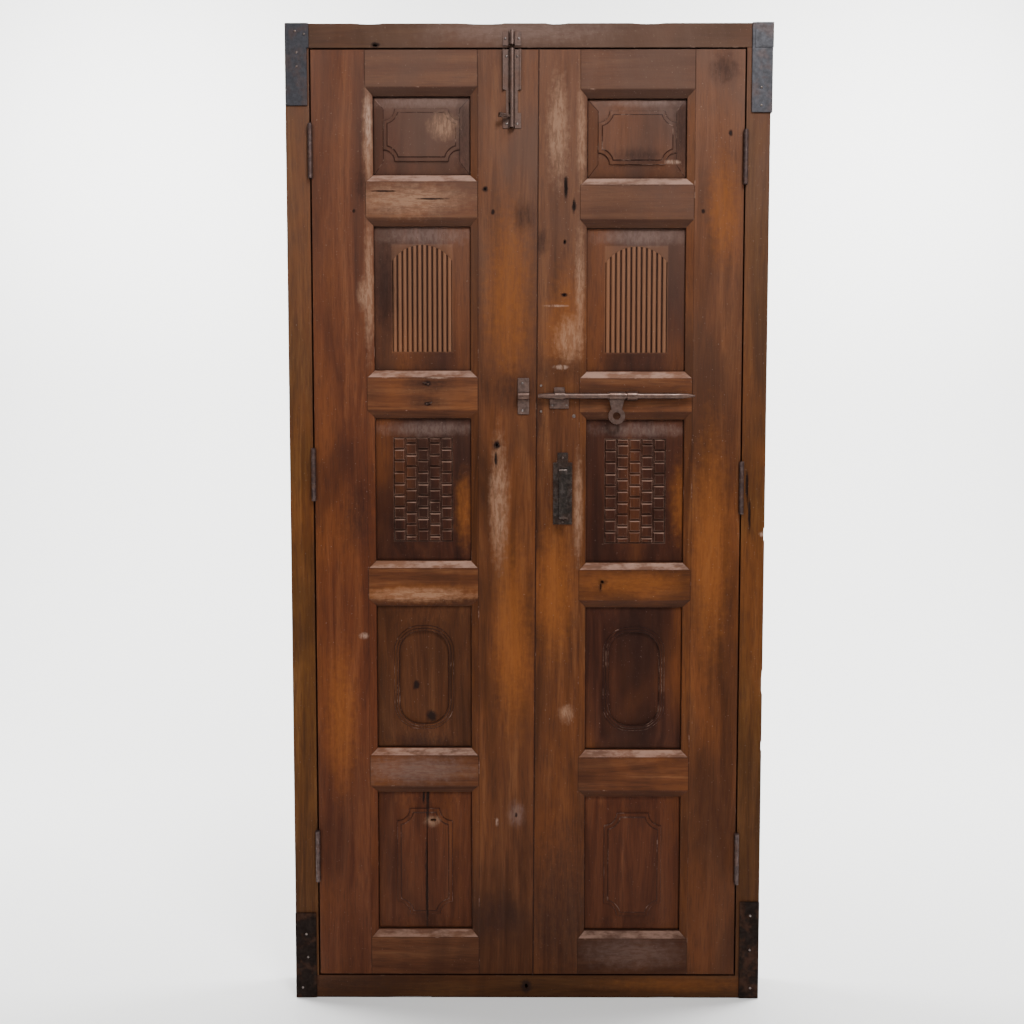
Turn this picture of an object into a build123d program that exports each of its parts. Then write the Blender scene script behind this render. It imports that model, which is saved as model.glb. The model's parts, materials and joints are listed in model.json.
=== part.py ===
from build123d import *
import math
import os

# A two-leaf panelled and carved timber door in its own frame, with iron straps, hinges and bolts.
# Millimetres. X runs to the viewer's right, Y away from the viewer, Z up. The origin is the middle
# of the sill's underside, at half the frame's depth. The leaves open towards the viewer.

# Frame
FRAME_WIDTH = 1010
FRAME_HEIGHT = 2080
FRAME_DEPTH = 90
FRAME_FACE = 50
STOP_WIDTH = 14
JAMB_TENON_HEIGHT = 30
JAMB_TENON_THICK = 22
JAMB_TENON_SHOULDER = 12
TENON_CLEARANCE = 0.2
TENON_END_CLEARANCE = 0.8

# Leaves: the meeting line stands right of the middle and leans outward at its top. The meeting
# edges are planed back a little behind the face, so that each leaf swings past the other.
LEAF_THICK = 36
LEAF_GAP = 3
MEETING_GAP = 1.2
MEETING_RELIEF = 2
STOP_GAP = 1.5
MEETING_X = 18
MEETING_LEAN = 10
LEFT_HINGE_STILE = 112
LEFT_MEETING_STILE = 121.5
RIGHT_HINGE_STILE = 103
RIGHT_MEETING_STILE = 90.5

# Heights of the six rails' faces from the foot up, and how the openings share what is left.
LEFT_RAILS = (82, 66, 66, 69, 74, 76)
LEFT_OPENING_SHARES = (337, 341, 336, 333, 194)
RIGHT_RAILS = (79, 72, 65, 70, 71, 81)
RIGHT_OPENING_SHARES = (330, 342, 337, 331, 196)

# Bevel round each opening, groove for the panels and tenons of the rails
BEVEL_WIDTH = 16
BEVEL_DEPTH = 8
GROOVE_DEPTH = 10
GROOVE_THICK = 8
GROOVE_SET = 17
RAIL_TENON_LENGTH = 52
RAIL_TENON_HAUNCH = 15

# Raised panels
PANEL_CLEARANCE = 0.3
PANEL_EDGE_DEPTH = 14
PANEL_FIELD_DEPTH = 6
PANEL_BACK_THICK = 2

# Carving: the field's distance from the opening's inner edge, sideways and up, for each motif
TABLET_MARGIN = (22, 27)
ARCH_MARGIN = (39, 39)
BRICK_MARGIN = (39, 41)
OVAL_MARGIN = (38, 42)
TALL_TABLET_MARGIN = (42, 35)
NOTCH_RADIUS = 24
TALL_NOTCH_RADIUS = 28
TABLET_STEP = 2.5
TABLET_BORDER = 8
TABLET_RISE = 1.2
TABLET_LEDGE = 1.8
TABLET_LEDGE_SLOPE = 0.8
ARCH_RISE = 33
ARCH_RECESS = 2.5
REED_COUNT = 12
REED_GAP = 0.8
REED_HEIGHT = 3.8
REED_SHOULDER = 0.7
BRICK_COLUMNS = 5
BRICK_ROWS = 9
BRICK_JOINT = 2.4
BRICK_RELIEF = 4
BRICK_RECESS = 2.5
BRICK_EDGE = 2
OVAL_CORNER = 56
OVAL_RING_WIDTH = 6
OVAL_RING_HEIGHT = 2
OVAL_BEAD_WIDTH = 5
OVAL_BEAD_HEIGHT = 4
OVAL_SINK = 1.5

# Butt hinges, three a leaf: the bottom one's height above the leaf's foot, the middle one's above
# halfway between the others, and the top one's drop below the leaf's top
LEFT_HINGES = (265, 76.5, 208)
RIGHT_HINGES = (260, 57.5, 221)
HINGE_LENGTH = 112
HINGE_PLATE_THICK = 2
HINGE_PLATE_REACH = 32
KNUCKLE_RADIUS = 4.75
KNUCKLE_SIDE_GAP = 0.3
KNUCKLE_COUNT = 3
KNUCKLE_END_GAP = 0.3
PIN_RADIUS = 2.5
PIN_FIT = 0.08

# Small round work is drawn with flats, because there is so much of it.
ROUND_SIDES = 16
CORNER_SIDES = 6

# Iron corner straps
STRAP_THICK = 3
TOP_LEFT_STRAP = (44, 167)
TOP_LEFT_STRAP_HEAD = 48
STRAP_EDGE_SET = 2
TOP_RIGHT_STRAP = (40, 182)
TOP_RIGHT_CAP = (34, 51)
CAP_THICK = 4
STRAP_RETURN = 42
BOTTOM_LEFT_STRAP = (45, 189)
BOTTOM_RIGHT_STRAP = (42, 215)
STRAP_FLOOR_GAP = 1

# Cross bolt: places are measured from the meeting line at the bolt's height
CROSS_BOLT_DROP = 2
CROSS_BOLT_STAND = 10
CROSS_BOLT_TRAVEL = 90
ROD_RADIUS = 6
ROD_NOSE_REACH = 87
ROD_LENGTH = 330
NOSE_TIP_RADIUS = 4
NOSE_LENGTH = 42
TAIL_LENGTH = 29
TAIL_RADIUS = 4.6
TAIL_TIP_RADIUS = 1.6
ROD_SHOULDER_RADIUS = 7.6
ROD_SHOULDER_WIDTH = 2.5
LOOP_CLEARANCE = 0.4
LOOP_THICK = 2.5
KEEPER_REACH = 28
KEEPER_WIDTH = 24
KEEPER_HEIGHT = 76
GUIDE_REACH = 48
GUIDE_WIDTH = 22
GUIDE_FOOT_DROP = 26
GUIDE_FOOT_WIDTH = 40
GUIDE_LIP = 12
STAPLE_REACH = 201
STAPLE_WIDTH = 22
STAPLE_LEG = 20
FOOT_THICK = 2.5

# Hasp
HASP_REACH = 62.5
HASP_WIDTH = 32
HASP_FIT = 0.3
HASP_COLLAR_THICK = 2.3
HASP_THICK = 3.5
HASP_DROP = 42
HASP_WAIST = 24
HASP_WAIST_DROP = 24
EYE_RADIUS = 17.5
EYE_HOLE_RADIUS = 8
STUD_HEAD = 12

# Tower bolt: heights are measured down from the leaf's top
TOWER_BOLT_REACH = 56
TOWER_PLATE_WIDTH = 38
TOWER_PLATE_THICK = 1.5
TOWER_TOP_GAP = 1
TOWER_FLANGE_HEIGHT = 82
TOWER_FOOT_HEIGHT = 31
TOWER_PLATE_LENGTH = 160
TOWER_NECK_WIDTH = 24
TOWER_RIM_WIDTH = 3
TOWER_RIM_HEIGHT = 4.5
TOWER_ROD_RADIUS = 4.2
TOWER_ROD_STAND = 4.8
TOWER_LOOP_CLEARANCE = 0.7
TOWER_ROD_RISE = 20
TOWER_ROD_LENGTH = 153
TOWER_BOLT_TRAVEL = 24
KNOB_DROP = 114
KNOB_TURN = 25
KNOB_STEM = 4.4
KNOB_START = 12
KNOB_LENGTH = 17
KNOB_RADIUS = 5.4
KNOB_NECK_RADIUS = 3.4
SLOT_CLEARANCE = 1.2
TOWER_KEEPER_HEIGHT = 28
TOWER_KEEPER_LIFT = 4

# Pull handle
HANDLE_REACH = 56.5
HANDLE_DROP = 206
HANDLE_PLATE = (40, 131)
HANDLE_PLATE_THICK = 2.5
HANDLE_TAB = (22, 21)
GRIP_WIDTH = 17
GRIP_LENGTH = 110
GRIP_STAND = 24
GRIP_THICK = 5
GRIP_CORNER = 8

# Hand-made nails: square shanks and four-sided heads
NAIL_SHANK = 3
NAIL_LENGTH = 18
NAIL_HEAD = 8
NAIL_HEAD_HEIGHT = 2

# Nails on each strap: (in from its outer edge, up from its lower end)
TOP_LEFT_STRAP_NAILS = ((23, 78), (23, 107), (20, 150), (39, 144))
TOP_RIGHT_STRAP_NAILS = ((20, 14), (20, 50))
BOTTOM_LEFT_STRAP_NAILS = ((24, 143), (27, 91), (15, 23))
BOTTOM_RIGHT_STRAP_NAILS = ((20, 185), (20, 109), (18, 23))

# Nails of the bolts and the handle, set in from the edges of what they hold
KEEPER_NAIL_SHIFT = 2
KEEPER_NAIL_SETS = (11, 8)
GUIDE_NAIL_SET = (5, 7)
LOOSE_NAIL_REACH = 9
LOOSE_NAIL_LIFTS = (22, -32)
TOWER_KEEPER_NAIL_SET = 5
TOWER_NAIL_REACH = 11
TOWER_NAIL_SETS = (14, 9)
HANDLE_NAIL_SET = 5.5

# Worked out from the sizes above
FRONT = -FRAME_DEPTH / 2
BACK = FRAME_DEPTH / 2
HALF = FRAME_WIDTH / 2
LEAF_FOOT = FRAME_FACE + LEAF_GAP
LEAF_TOP = FRAME_HEIGHT - FRAME_FACE - LEAF_GAP
LEAF_BACK = FRONT + LEAF_THICK
REBATE_BACK = LEAF_BACK + STOP_GAP
HINGE_AXIS_X = HALF - FRAME_FACE - LEAF_GAP / 2
HINGE_AXIS_Y = FRONT - KNUCKLE_RADIUS - KNUCKLE_SIDE_GAP
GROOVE_Y = (FRONT + GROOVE_SET, FRONT + GROOVE_SET + GROOVE_THICK)
CUT = 1


def block(x, y, z):
    """A box between three pairs of coordinates."""
    spans = [sorted(pair) for pair in (x, y, z)]
    size = [high - low for low, high in spans]
    middle = [(low + high) / 2 for low, high in spans]
    return Pos(*middle) * Box(*size)


def prism(axis, points, start, end):
    """A straight prism along an axis, with an outline of (y, z), (x, z) or (x, y) points."""
    planes = {"x": Plane.YZ.offset(start), "y": Plane.XZ.offset(-end), "z": Plane.XY.offset(start)}
    return extrude(planes[axis] * make_face(Polyline(*points, close=True)), end - start)


def rod(axis, place, radius, start, end):
    """A round bar along Z or X through a place."""
    length = end - start
    if axis == "z":
        return Pos(place[0], place[1], (start + end) / 2) * Cylinder(radius, length)
    return Pos((start + end) / 2, place[0], place[1]) * Rot(0, 90, 0) * Cylinder(radius, length)


def many_sided(place, radius, start, end):
    """An upright round bar with flat sides, no wider than its radius. The hinges use it, being many."""
    outline = Pos(place[0], place[1]) * RegularPolygon(radius, ROUND_SIDES)
    return extrude(Plane.XY.offset(start) * outline, end - start)


def skin(rings):
    """A closed solid through rings of points, each ring with as many points as the first."""
    faces = [Face(Wire.make_polygon(ring)) for ring in (rings[0], rings[-1])]
    for near, far in zip(rings, rings[1:]):
        for this in range(len(near)):
            after = (this + 1) % len(near)
            faces.append(Face(Wire.make_polygon([near[this], near[after], far[after]])))
            faces.append(Face(Wire.make_polygon([near[this], far[after], far[this]])))
    return Solid(Shell(faces))


def spindle(axis_x, sections):
    """A forged taper along X, through (place, radius) sections."""
    turns = [math.tau * number / ROUND_SIDES for number in range(ROUND_SIDES)]
    return skin([
        [(axis_x + place, radius * math.cos(turn), radius * math.sin(turn)) for turn in turns]
        for place, radius in sections
    ])


def arc_points(centre, radius, start, end, flats):
    """Points along an arc from one angle to another, in degrees, as a carver's or smith's flats."""
    turns = [math.radians(start + (end - start) * step / flats) for step in range(flats + 1)]
    return [(centre[0] + radius * math.cos(turn), centre[1] + radius * math.sin(turn)) for turn in turns]


def facing(x, y, z):
    """A drawing plane that faces the viewer."""
    return Plane(origin=(x, y, z), x_dir=(1, 0, 0), z_dir=(0, -1, 0))


def frustum(x, y, z, rise, base, top):
    """A block that tapers towards the viewer from one (width, height) to another."""
    inset = [(low - high) / 2 for low, high in zip(base, top)]
    plane = Plane(origin=(x, y, z), x_dir=(1, 0, 0), z_dir=(0, 0, -1))
    wedge = Wedge(
        base[0], rise, base[1], inset[0], inset[1], base[0] - inset[0], base[1] - inset[1],
        align=(Align.CENTER, Align.MIN, Align.CENTER),
    )
    return plane * wedge


def meeting_x(z):
    """The leaning meeting line's place at a height."""
    share = (z - LEAF_FOOT) / (LEAF_TOP - LEAF_FOOT)
    return MEETING_X + MEETING_LEAN * (share - 0.5)


def nail(x, z, face, head=NAIL_HEAD):
    """One nail driven from the front: its four-sided head lies on the face, its shank goes in behind it."""
    shank = block((x - NAIL_SHANK / 2, x + NAIL_SHANK / 2), (face, face + NAIL_LENGTH),
                  (z - NAIL_SHANK / 2, z + NAIL_SHANK / 2))
    return shank + frustum(x, face, z, NAIL_HEAD_HEIGHT, (head, head), (head / 3, head / 3))


def nail_hole(x, z, face):
    """The hole of a nail's shank, from just before the face to the shank's end."""
    return block((x - NAIL_SHANK / 2, x + NAIL_SHANK / 2), (face - CUT, face + NAIL_LENGTH),
                 (z - NAIL_SHANK / 2, z + NAIL_SHANK / 2))


def drill(solid, places, face):
    """A solid with the holes of nails at (x, z) places."""
    for x, z in places:
        solid -= nail_hole(x, z, face)
    return solid


def bar_loop(reach, inner_radius, thickness):
    """Section of a strap bent over a round rod: u lies along the face and v stands out from it."""
    outer_radius = inner_radius + thickness
    outer = arc_points((0, reach), outer_radius, 0, 180, ROUND_SIDES // 2)
    inner = arc_points((0, reach), inner_radius, 180, 0, ROUND_SIDES // 2)
    outline = [(outer_radius, 0), *outer, (-outer_radius, 0), (-inner_radius, 0), *inner, (inner_radius, 0)]
    return make_face(Polyline(*outline, close=True))


def opening_heights(rails, shares):
    """The outer (low, high) heights of a leaf's openings, from the foot up."""
    free = LEAF_TOP - LEAF_FOOT - sum(rails)
    heights = []
    z = LEAF_FOOT
    for rail, share in zip(rails, shares):
        low = z + rail
        z = low + free * share / sum(shares)
        heights.append((low, z))
    return heights


def rail_heights(openings):
    """The rails' whole (low, high) heights, bevels included, from the foot up."""
    lows = [LEAF_FOOT] + [high - BEVEL_WIDTH for low, high in openings]
    highs = [low + BEVEL_WIDTH for low, high in openings] + [LEAF_TOP]
    return list(zip(lows, highs))


LEFT_OPENINGS = opening_heights(LEFT_RAILS, LEFT_OPENING_SHARES)
RIGHT_OPENINGS = opening_heights(RIGHT_RAILS, RIGHT_OPENING_SHARES)
LEFT_SPAN = (-HALF + FRAME_FACE + LEAF_GAP + LEFT_HINGE_STILE,
             MEETING_X - MEETING_GAP / 2 - LEFT_MEETING_STILE)
RIGHT_SPAN = (MEETING_X + MEETING_GAP / 2 + RIGHT_MEETING_STILE,
              HALF - FRAME_FACE - LEAF_GAP - RIGHT_HINGE_STILE)


def hinge_heights(side):
    """The middle heights of a leaf's three hinges, from the foot up."""
    foot, lift, drop = LEFT_HINGES if side < 0 else RIGHT_HINGES
    low = LEAF_FOOT + foot
    high = LEAF_TOP - drop
    return low, (low + high) / 2 + lift, high


def hinge_recess(side, z, towards):
    """The pocket of one hinge plate in the edge of the stile or jamb that lies towards +X or -X."""
    near = side * HINGE_AXIS_X + towards * LEAF_GAP / 2
    return block((near, near + towards * HINGE_PLATE_THICK), (FRONT - CUT, FRONT + HINGE_PLATE_REACH),
                 (z - HINGE_LENGTH / 2, z + HINGE_LENGTH / 2))


def hinge_half(side, z, towards, own):
    """One half of a butt hinge: its plate and the knuckles whose numbers it owns."""
    place = (side * HINGE_AXIS_X, HINGE_AXIS_Y)
    near = place[0] + towards * LEAF_GAP / 2
    across = (near, near + towards * HINGE_PLATE_THICK)
    half = block(across, (FRONT, FRONT + HINGE_PLATE_REACH), (z - HINGE_LENGTH / 2, z + HINGE_LENGTH / 2))
    pitch = HINGE_LENGTH / KNUCKLE_COUNT
    for number in own:
        low = z - HINGE_LENGTH / 2 + number * pitch
        start = low + (KNUCKLE_END_GAP / 2 if number else 0)
        end = low + pitch - (KNUCKLE_END_GAP / 2 if number < KNUCKLE_COUNT - 1 else 0)
        knuckle = many_sided(place, KNUCKLE_RADIUS, start, end)
        half += knuckle + block(across, (HINGE_AXIS_Y, FRONT), (start, end))
    apothem = math.cos(math.pi / ROUND_SIDES)
    bore = (PIN_RADIUS + PIN_FIT) / apothem
    return half - many_sided(place, bore, z - HINGE_LENGTH, z + HINGE_LENGTH)


def hinge_pin(side, z):
    """A plain round pin, riveted flush with the end knuckles."""
    ends = (z - HINGE_LENGTH / 2, z + HINGE_LENGTH / 2)
    return rod("z", (side * HINGE_AXIS_X, HINGE_AXIS_Y), PIN_RADIUS, *ends)


def jamb_tenons(side, clearance, end_clearance):
    """A jamb's two tenons, or with clearances the mortises for them."""
    outer = HALF - JAMB_TENON_SHOULDER + clearance
    inner = HALF - FRAME_FACE + JAMB_TENON_SHOULDER - clearance
    half_thick = JAMB_TENON_THICK / 2 + clearance
    y_middle = (REBATE_BACK + BACK) / 2
    y = (y_middle - half_thick, y_middle + half_thick)
    low = block((side * inner, side * outer), y,
                (FRAME_FACE - JAMB_TENON_HEIGHT - end_clearance, FRAME_FACE + STOP_WIDTH))
    top = FRAME_HEIGHT - FRAME_FACE
    high = block((side * inner, side * outer), y,
                 (top - STOP_WIDTH, top + JAMB_TENON_HEIGHT + end_clearance))
    return [low, high]


def cross_member(low, high, stop_low, stop_high):
    """The sill or the head: a plain bar with a rebate for the leaves."""
    front_part = block((-HALF, HALF), (FRONT, REBATE_BACK), (low, high))
    rear_part = block((-HALF, HALF), (REBATE_BACK, BACK), (stop_low, stop_high))
    member = front_part + rear_part
    for side in (-1, 1):
        for mortise in jamb_tenons(side, TENON_CLEARANCE, TENON_END_CLEARANCE):
            member -= mortise
    return member


def jamb(side, sill, head):
    """A rebated jamb, housed over the stops of the sill and the head."""
    front_part = block((side * HALF, side * (HALF - FRAME_FACE)), (FRONT, REBATE_BACK),
                       (FRAME_FACE, FRAME_HEIGHT - FRAME_FACE))
    rear_part = block((side * HALF, side * (HALF - FRAME_FACE - STOP_WIDTH)), (REBATE_BACK, BACK),
                      (FRAME_FACE, FRAME_HEIGHT - FRAME_FACE))
    post = front_part + rear_part - sill - head
    keep = block((side * HALF, side * (HALF - FRAME_FACE - STOP_WIDTH)), (FRONT, BACK),
                 (FRAME_FACE, FRAME_HEIGHT - FRAME_FACE))
    post = post & keep
    post = max(post.solids(), key=lambda solid: solid.volume)
    for tenon in jamb_tenons(side, 0, 0):
        post += tenon
    for z in hinge_heights(side):
        post -= hinge_recess(side, z, side)
    return post


def bevel_along_stile(inner, towards):
    """What the bevel takes off a stile's front corner, along the whole leaf."""
    points = [
        (inner - towards * BEVEL_WIDTH, FRONT),
        (inner, FRONT + BEVEL_DEPTH),
        (inner + towards * CUT, FRONT + BEVEL_DEPTH),
        (inner + towards * CUT, FRONT - CUT),
        (inner - towards * BEVEL_WIDTH, FRONT - CUT),
    ]
    return prism("z", points, LEAF_FOOT - CUT, LEAF_TOP + CUT)


def bevel_along_rail(x, edge, towards):
    """What the bevel takes off a rail's front corner, along its length."""
    points = [
        (FRONT, edge - towards * BEVEL_WIDTH),
        (FRONT + BEVEL_DEPTH, edge),
        (FRONT + BEVEL_DEPTH, edge + towards * CUT),
        (FRONT - CUT, edge + towards * CUT),
        (FRONT - CUT, edge - towards * BEVEL_WIDTH),
    ]
    return prism("x", points, x[0] - CUT, x[1] + CUT)


def tenon_height(heights, number):
    """The height of a rail's tenon: clear of the panels' tongues and of the leaf's ends."""
    low, high = heights[number]
    foot = low + (RAIL_TENON_HAUNCH if number == 0 else GROOVE_DEPTH)
    head = high - (RAIL_TENON_HAUNCH if number == len(heights) - 1 else GROOVE_DEPTH)
    return foot, head


def stile(inner, towards, outer_foot, outer_top, relief, heights):
    """A stile with its bevel, groove and mortises; its opening lies towards +X or -X."""
    rings = []
    for y, planed in ((FRONT, 0), (LEAF_BACK, towards * relief)):
        rings.append([(inner, y, LEAF_FOOT), (outer_foot + planed, y, LEAF_FOOT),
                      (outer_top + planed, y, LEAF_TOP), (inner, y, LEAF_TOP)])
    solid = skin(rings)
    solid -= bevel_along_stile(inner, towards)
    solid -= block((inner - towards * GROOVE_DEPTH, inner + towards * CUT), GROOVE_Y,
                   (LEAF_FOOT - CUT, LEAF_TOP + CUT))
    deep = inner - towards * (RAIL_TENON_LENGTH + TENON_END_CLEARANCE)
    for number in range(len(heights)):
        low, high = tenon_height(heights, number)
        solid -= block((deep, inner), GROOVE_Y, (low - TENON_CLEARANCE, high + TENON_CLEARANCE))
    return solid


def rail(span, heights, number):
    """A rail scribed over both stiles' bevels, with tenons, bevels and grooves for the panels."""
    low, high = heights[number]
    lowest = number == 0
    highest = number == len(heights) - 1
    inner = (span[0] + BEVEL_WIDTH, span[1] - BEVEL_WIDTH)
    solid = block(span, (FRONT, LEAF_BACK), (low, high))
    for edge, end, towards in ((inner[0], span[0], 1), (inner[1], span[1], -1)):
        stile_side = [
            (end, FRONT),
            (edge, FRONT + BEVEL_DEPTH),
            (edge, LEAF_BACK + CUT),
            (end - towards * CUT, LEAF_BACK + CUT),
            (end - towards * CUT, FRONT),
        ]
        solid -= prism("z", stile_side, low - CUT, high + CUT)
    if not lowest:
        solid -= bevel_along_rail(span, low, -1)
        solid -= block((inner[0] - CUT, inner[1] + CUT), GROOVE_Y, (low - CUT, low + GROOVE_DEPTH))
    if not highest:
        solid -= bevel_along_rail(span, high, 1)
        solid -= block((inner[0] - CUT, inner[1] + CUT), GROOVE_Y, (high - GROOVE_DEPTH, high + CUT))
    tenon_y = (GROOVE_Y[0] + TENON_CLEARANCE, GROOVE_Y[1] - TENON_CLEARANCE)
    foot, head = tenon_height(heights, number)
    solid += block((inner[0] - RAIL_TENON_LENGTH, inner[1] + RAIL_TENON_LENGTH), tenon_y, (foot, head))
    haunch_depth = GROOVE_DEPTH - TENON_CLEARANCE
    haunch_x = (inner[0] - haunch_depth, inner[1] + haunch_depth)
    if lowest:
        solid += block(haunch_x, tenon_y, (low, foot))
    if highest:
        solid += block(haunch_x, tenon_y, (head, high))
    return solid


def scooped_outline(width, height, radius, inset):
    """Points of a rectangle whose corners are scooped out, drawn smaller all round by an inset."""
    reach = radius + inset
    lost = math.degrees(math.asin(inset / reach))
    points = []
    for across, up, turn in ((1, 1, 270), (-1, 1, 360), (-1, -1, 90), (1, -1, 180)):
        corner = (across * width / 2, up * height / 2)
        points += arc_points(corner, reach, turn - lost, turn - 90 + lost, CORNER_SIDES)
    return points


def carve_tablet(x, z, field, notch):
    """A raised tablet with scooped corners: a step, a sloping border and a second step up to its face."""
    y = FRONT + PANEL_FIELD_DEPTH
    border = y - TABLET_STEP - TABLET_RISE
    levels = ((y + CUT, 0), (y - TABLET_STEP, 0), (border, TABLET_BORDER),
              (border - TABLET_LEDGE, TABLET_BORDER + TABLET_LEDGE_SLOPE))
    rings = []
    for depth, inset in levels:
        rings.append([(x + u, depth, z + v) for u, v in scooped_outline(*field, notch, inset)])
    return [skin(rings)], []


def arch_outline(width, height):
    """A rectangle with a low arched top."""
    half = width / 2
    radius = (half**2 + ARCH_RISE**2) / (2 * ARCH_RISE)
    spread = math.degrees(math.asin(half / radius))
    crown = arc_points((0, height / 2 - radius), radius, 90 - spread, 90 + spread, REED_COUNT)
    return make_face(Polyline((-half, -height / 2), (half, -height / 2), *crown, close=True))


def carve_arch(x, z, field):
    """Upright reeds side by side in a shallow arched recess."""
    y = FRONT + PANEL_FIELD_DEPTH
    floor = y + ARCH_RECESS
    recess = extrude(facing(x, floor, z) * arch_outline(*field), ARCH_RECESS + CUT)
    pitch = field[0] / REED_COUNT
    half = (pitch - REED_GAP) / 2
    outline = [
        (-half, floor + CUT),
        (half, floor + CUT),
        (half, floor),
        (half * REED_SHOULDER, floor - REED_HEIGHT * REED_SHOULDER),
        (0, floor - REED_HEIGHT),
        (-half * REED_SHOULDER, floor - REED_HEIGHT * REED_SHOULDER),
        (-half, floor),
    ]
    reed = prism("z", outline, z - field[1] / 2, z + field[1] / 2)
    row = [Pos(x - field[0] / 2 + (number + 0.5) * pitch, 0, 0) * reed for number in range(REED_COUNT)]
    clip = extrude(facing(x, floor + CUT, z) * arch_outline(*field), CUT + REED_HEIGHT)
    return [reed & clip for reed in row], [recess]


def carve_bricks(x, z, field):
    """Columns of pillowed blocks, every other column set half a block lower."""
    floor = FRONT + PANEL_FIELD_DEPTH + BRICK_RECESS
    recess = block((x - field[0] / 2, x + field[0] / 2), (FRONT, floor),
                   (z - field[1] / 2, z + field[1] / 2))
    column = field[0] / BRICK_COLUMNS
    row = field[1] / BRICK_ROWS
    bricks = []
    for across in range(BRICK_COLUMNS):
        middle = x - field[0] / 2 + (across + 0.5) * column
        cuts = [number * row for number in range(BRICK_ROWS + 1)]
        if across % 2:
            cuts = [0] + [cut + row / 2 for cut in cuts[:-1]] + [field[1]]
        for low, high in zip(cuts, cuts[1:]):
            base = (column - BRICK_JOINT, high - low - BRICK_JOINT)
            top = (base[0] - 2 * BRICK_EDGE, base[1] - 2 * BRICK_EDGE)
            height = z - field[1] / 2 + (low + high) / 2
            bricks.append(frustum(middle, floor, height, BRICK_RELIEF, base, top))
    return bricks, [recess]


def oval_outline(width, height, inset):
    """A long oval: a rectangle with very round corners."""
    radius = min(OVAL_CORNER, width / 2 - CUT) - inset
    half = (width / 2 - inset - radius, height / 2 - inset - radius)
    points = []
    for across, up, turn in ((1, 1, 0), (-1, 1, 90), (-1, -1, 180), (1, -1, 270)):
        points += arc_points((across * half[0], up * half[1]), radius, turn, turn + 90, CORNER_SIDES)
    return make_face(Polyline(*points, close=True))


def carve_oval(x, z, field):
    """A low ring and a higher bead inside it, round a slightly sunken oval."""
    y = FRONT + PANEL_FIELD_DEPTH
    inside = OVAL_RING_WIDTH + OVAL_BEAD_WIDTH
    ring = oval_outline(*field, 0) - oval_outline(*field, OVAL_RING_WIDTH)
    bead = oval_outline(*field, OVAL_RING_WIDTH) - oval_outline(*field, inside)
    raised = [
        extrude(facing(x, y + CUT, z) * ring, OVAL_RING_HEIGHT + CUT),
        extrude(facing(x, y + OVAL_SINK, z) * bead, OVAL_BEAD_HEIGHT + OVAL_SINK),
    ]
    sunk = extrude(facing(x, y + OVAL_SINK, z) * oval_outline(*field, inside), OVAL_SINK + CUT)
    return raised, [sunk]


def panel(span, opening, margin, carve, *details):
    """A raised panel with tongues all round and its carving on the field."""
    x = (span[0] + span[1]) / 2
    z = (opening[0] + opening[1]) / 2
    width = span[1] - span[0] - 2 * BEVEL_WIDTH
    height = opening[1] - opening[0] - 2 * BEVEL_WIDTH
    tongue = GROOVE_DEPTH - 3 * PANEL_CLEARANCE
    tongue_y = (GROOVE_Y[0] + PANEL_CLEARANCE, GROOVE_Y[1] - PANEL_CLEARANCE)
    solid = block((x - width / 2 - tongue, x + width / 2 + tongue), tongue_y,
                  (z - height / 2 - tongue, z + height / 2 + tongue))
    free = (width - 2 * PANEL_CLEARANCE, height - 2 * PANEL_CLEARANCE)
    solid += block((x - free[0] / 2, x + free[0] / 2),
                   (FRONT + PANEL_EDGE_DEPTH, tongue_y[1] + PANEL_BACK_THICK),
                   (z - free[1] / 2, z + free[1] / 2))
    field = (width - 2 * margin[0], height - 2 * margin[1])
    solid += frustum(x, FRONT + PANEL_EDGE_DEPTH, z, PANEL_EDGE_DEPTH - PANEL_FIELD_DEPTH, free, field)
    raised, sunk = carve(x, z, field, *details)
    if sunk:
        solid -= sunk
    return solid + raised


def flat_strap(x, width, z, height):
    """A flat iron plate on the frame's face."""
    return block((x, x + width), (FRONT - STRAP_THICK, FRONT), (z, z + height))


def top_right_strap():
    """The strap that folds round the frame's outer side, with a thicker cap over the head's end."""
    width, height = TOP_RIGHT_STRAP
    cap_width, cap_height = TOP_RIGHT_CAP
    face = block((HALF - width, HALF + STRAP_THICK), (FRONT - STRAP_THICK, FRONT),
                 (FRAME_HEIGHT - height, FRAME_HEIGHT))
    side = block((HALF, HALF + STRAP_THICK), (FRONT - STRAP_THICK, FRONT + STRAP_RETURN),
                 (FRAME_HEIGHT - height, FRAME_HEIGHT))
    cap_face = block((HALF - cap_width, HALF + CAP_THICK), (FRONT - CAP_THICK, FRONT),
                     (FRAME_HEIGHT - cap_height, FRAME_HEIGHT))
    cap_side = block((HALF, HALF + CAP_THICK), (FRONT - CAP_THICK, FRONT + STRAP_RETURN),
                     (FRAME_HEIGHT - cap_height, FRAME_HEIGHT))
    return face + side + cap_face + cap_side


# Where the hardware sits
CROSS_Z = sum(RIGHT_OPENINGS[2][1:] + RIGHT_OPENINGS[3][:1]) / 2 - CROSS_BOLT_DROP
CROSS_Y = FRONT - CROSS_BOLT_STAND
CROSS_X = meeting_x(CROSS_Z)
KEEPER_X = CROSS_X - KEEPER_REACH
GUIDE_X = CROSS_X + GUIDE_REACH
STAPLE_X = CROSS_X + STAPLE_REACH
HASP_X = CROSS_X + HASP_REACH + CROSS_BOLT_TRAVEL
EYE_X = HASP_X + HASP_WIDTH / 2
EYE_Z = CROSS_Z - HASP_DROP
STUD_X = EYE_X - CROSS_BOLT_TRAVEL
TOWER_X = meeting_x(LEAF_TOP) - TOWER_BOLT_REACH
TOWER_Y = FRONT - TOWER_ROD_STAND
TOWER_TOP = LEAF_TOP - TOWER_TOP_GAP
TOWER_FOOT = TOWER_TOP - TOWER_PLATE_LENGTH
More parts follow.
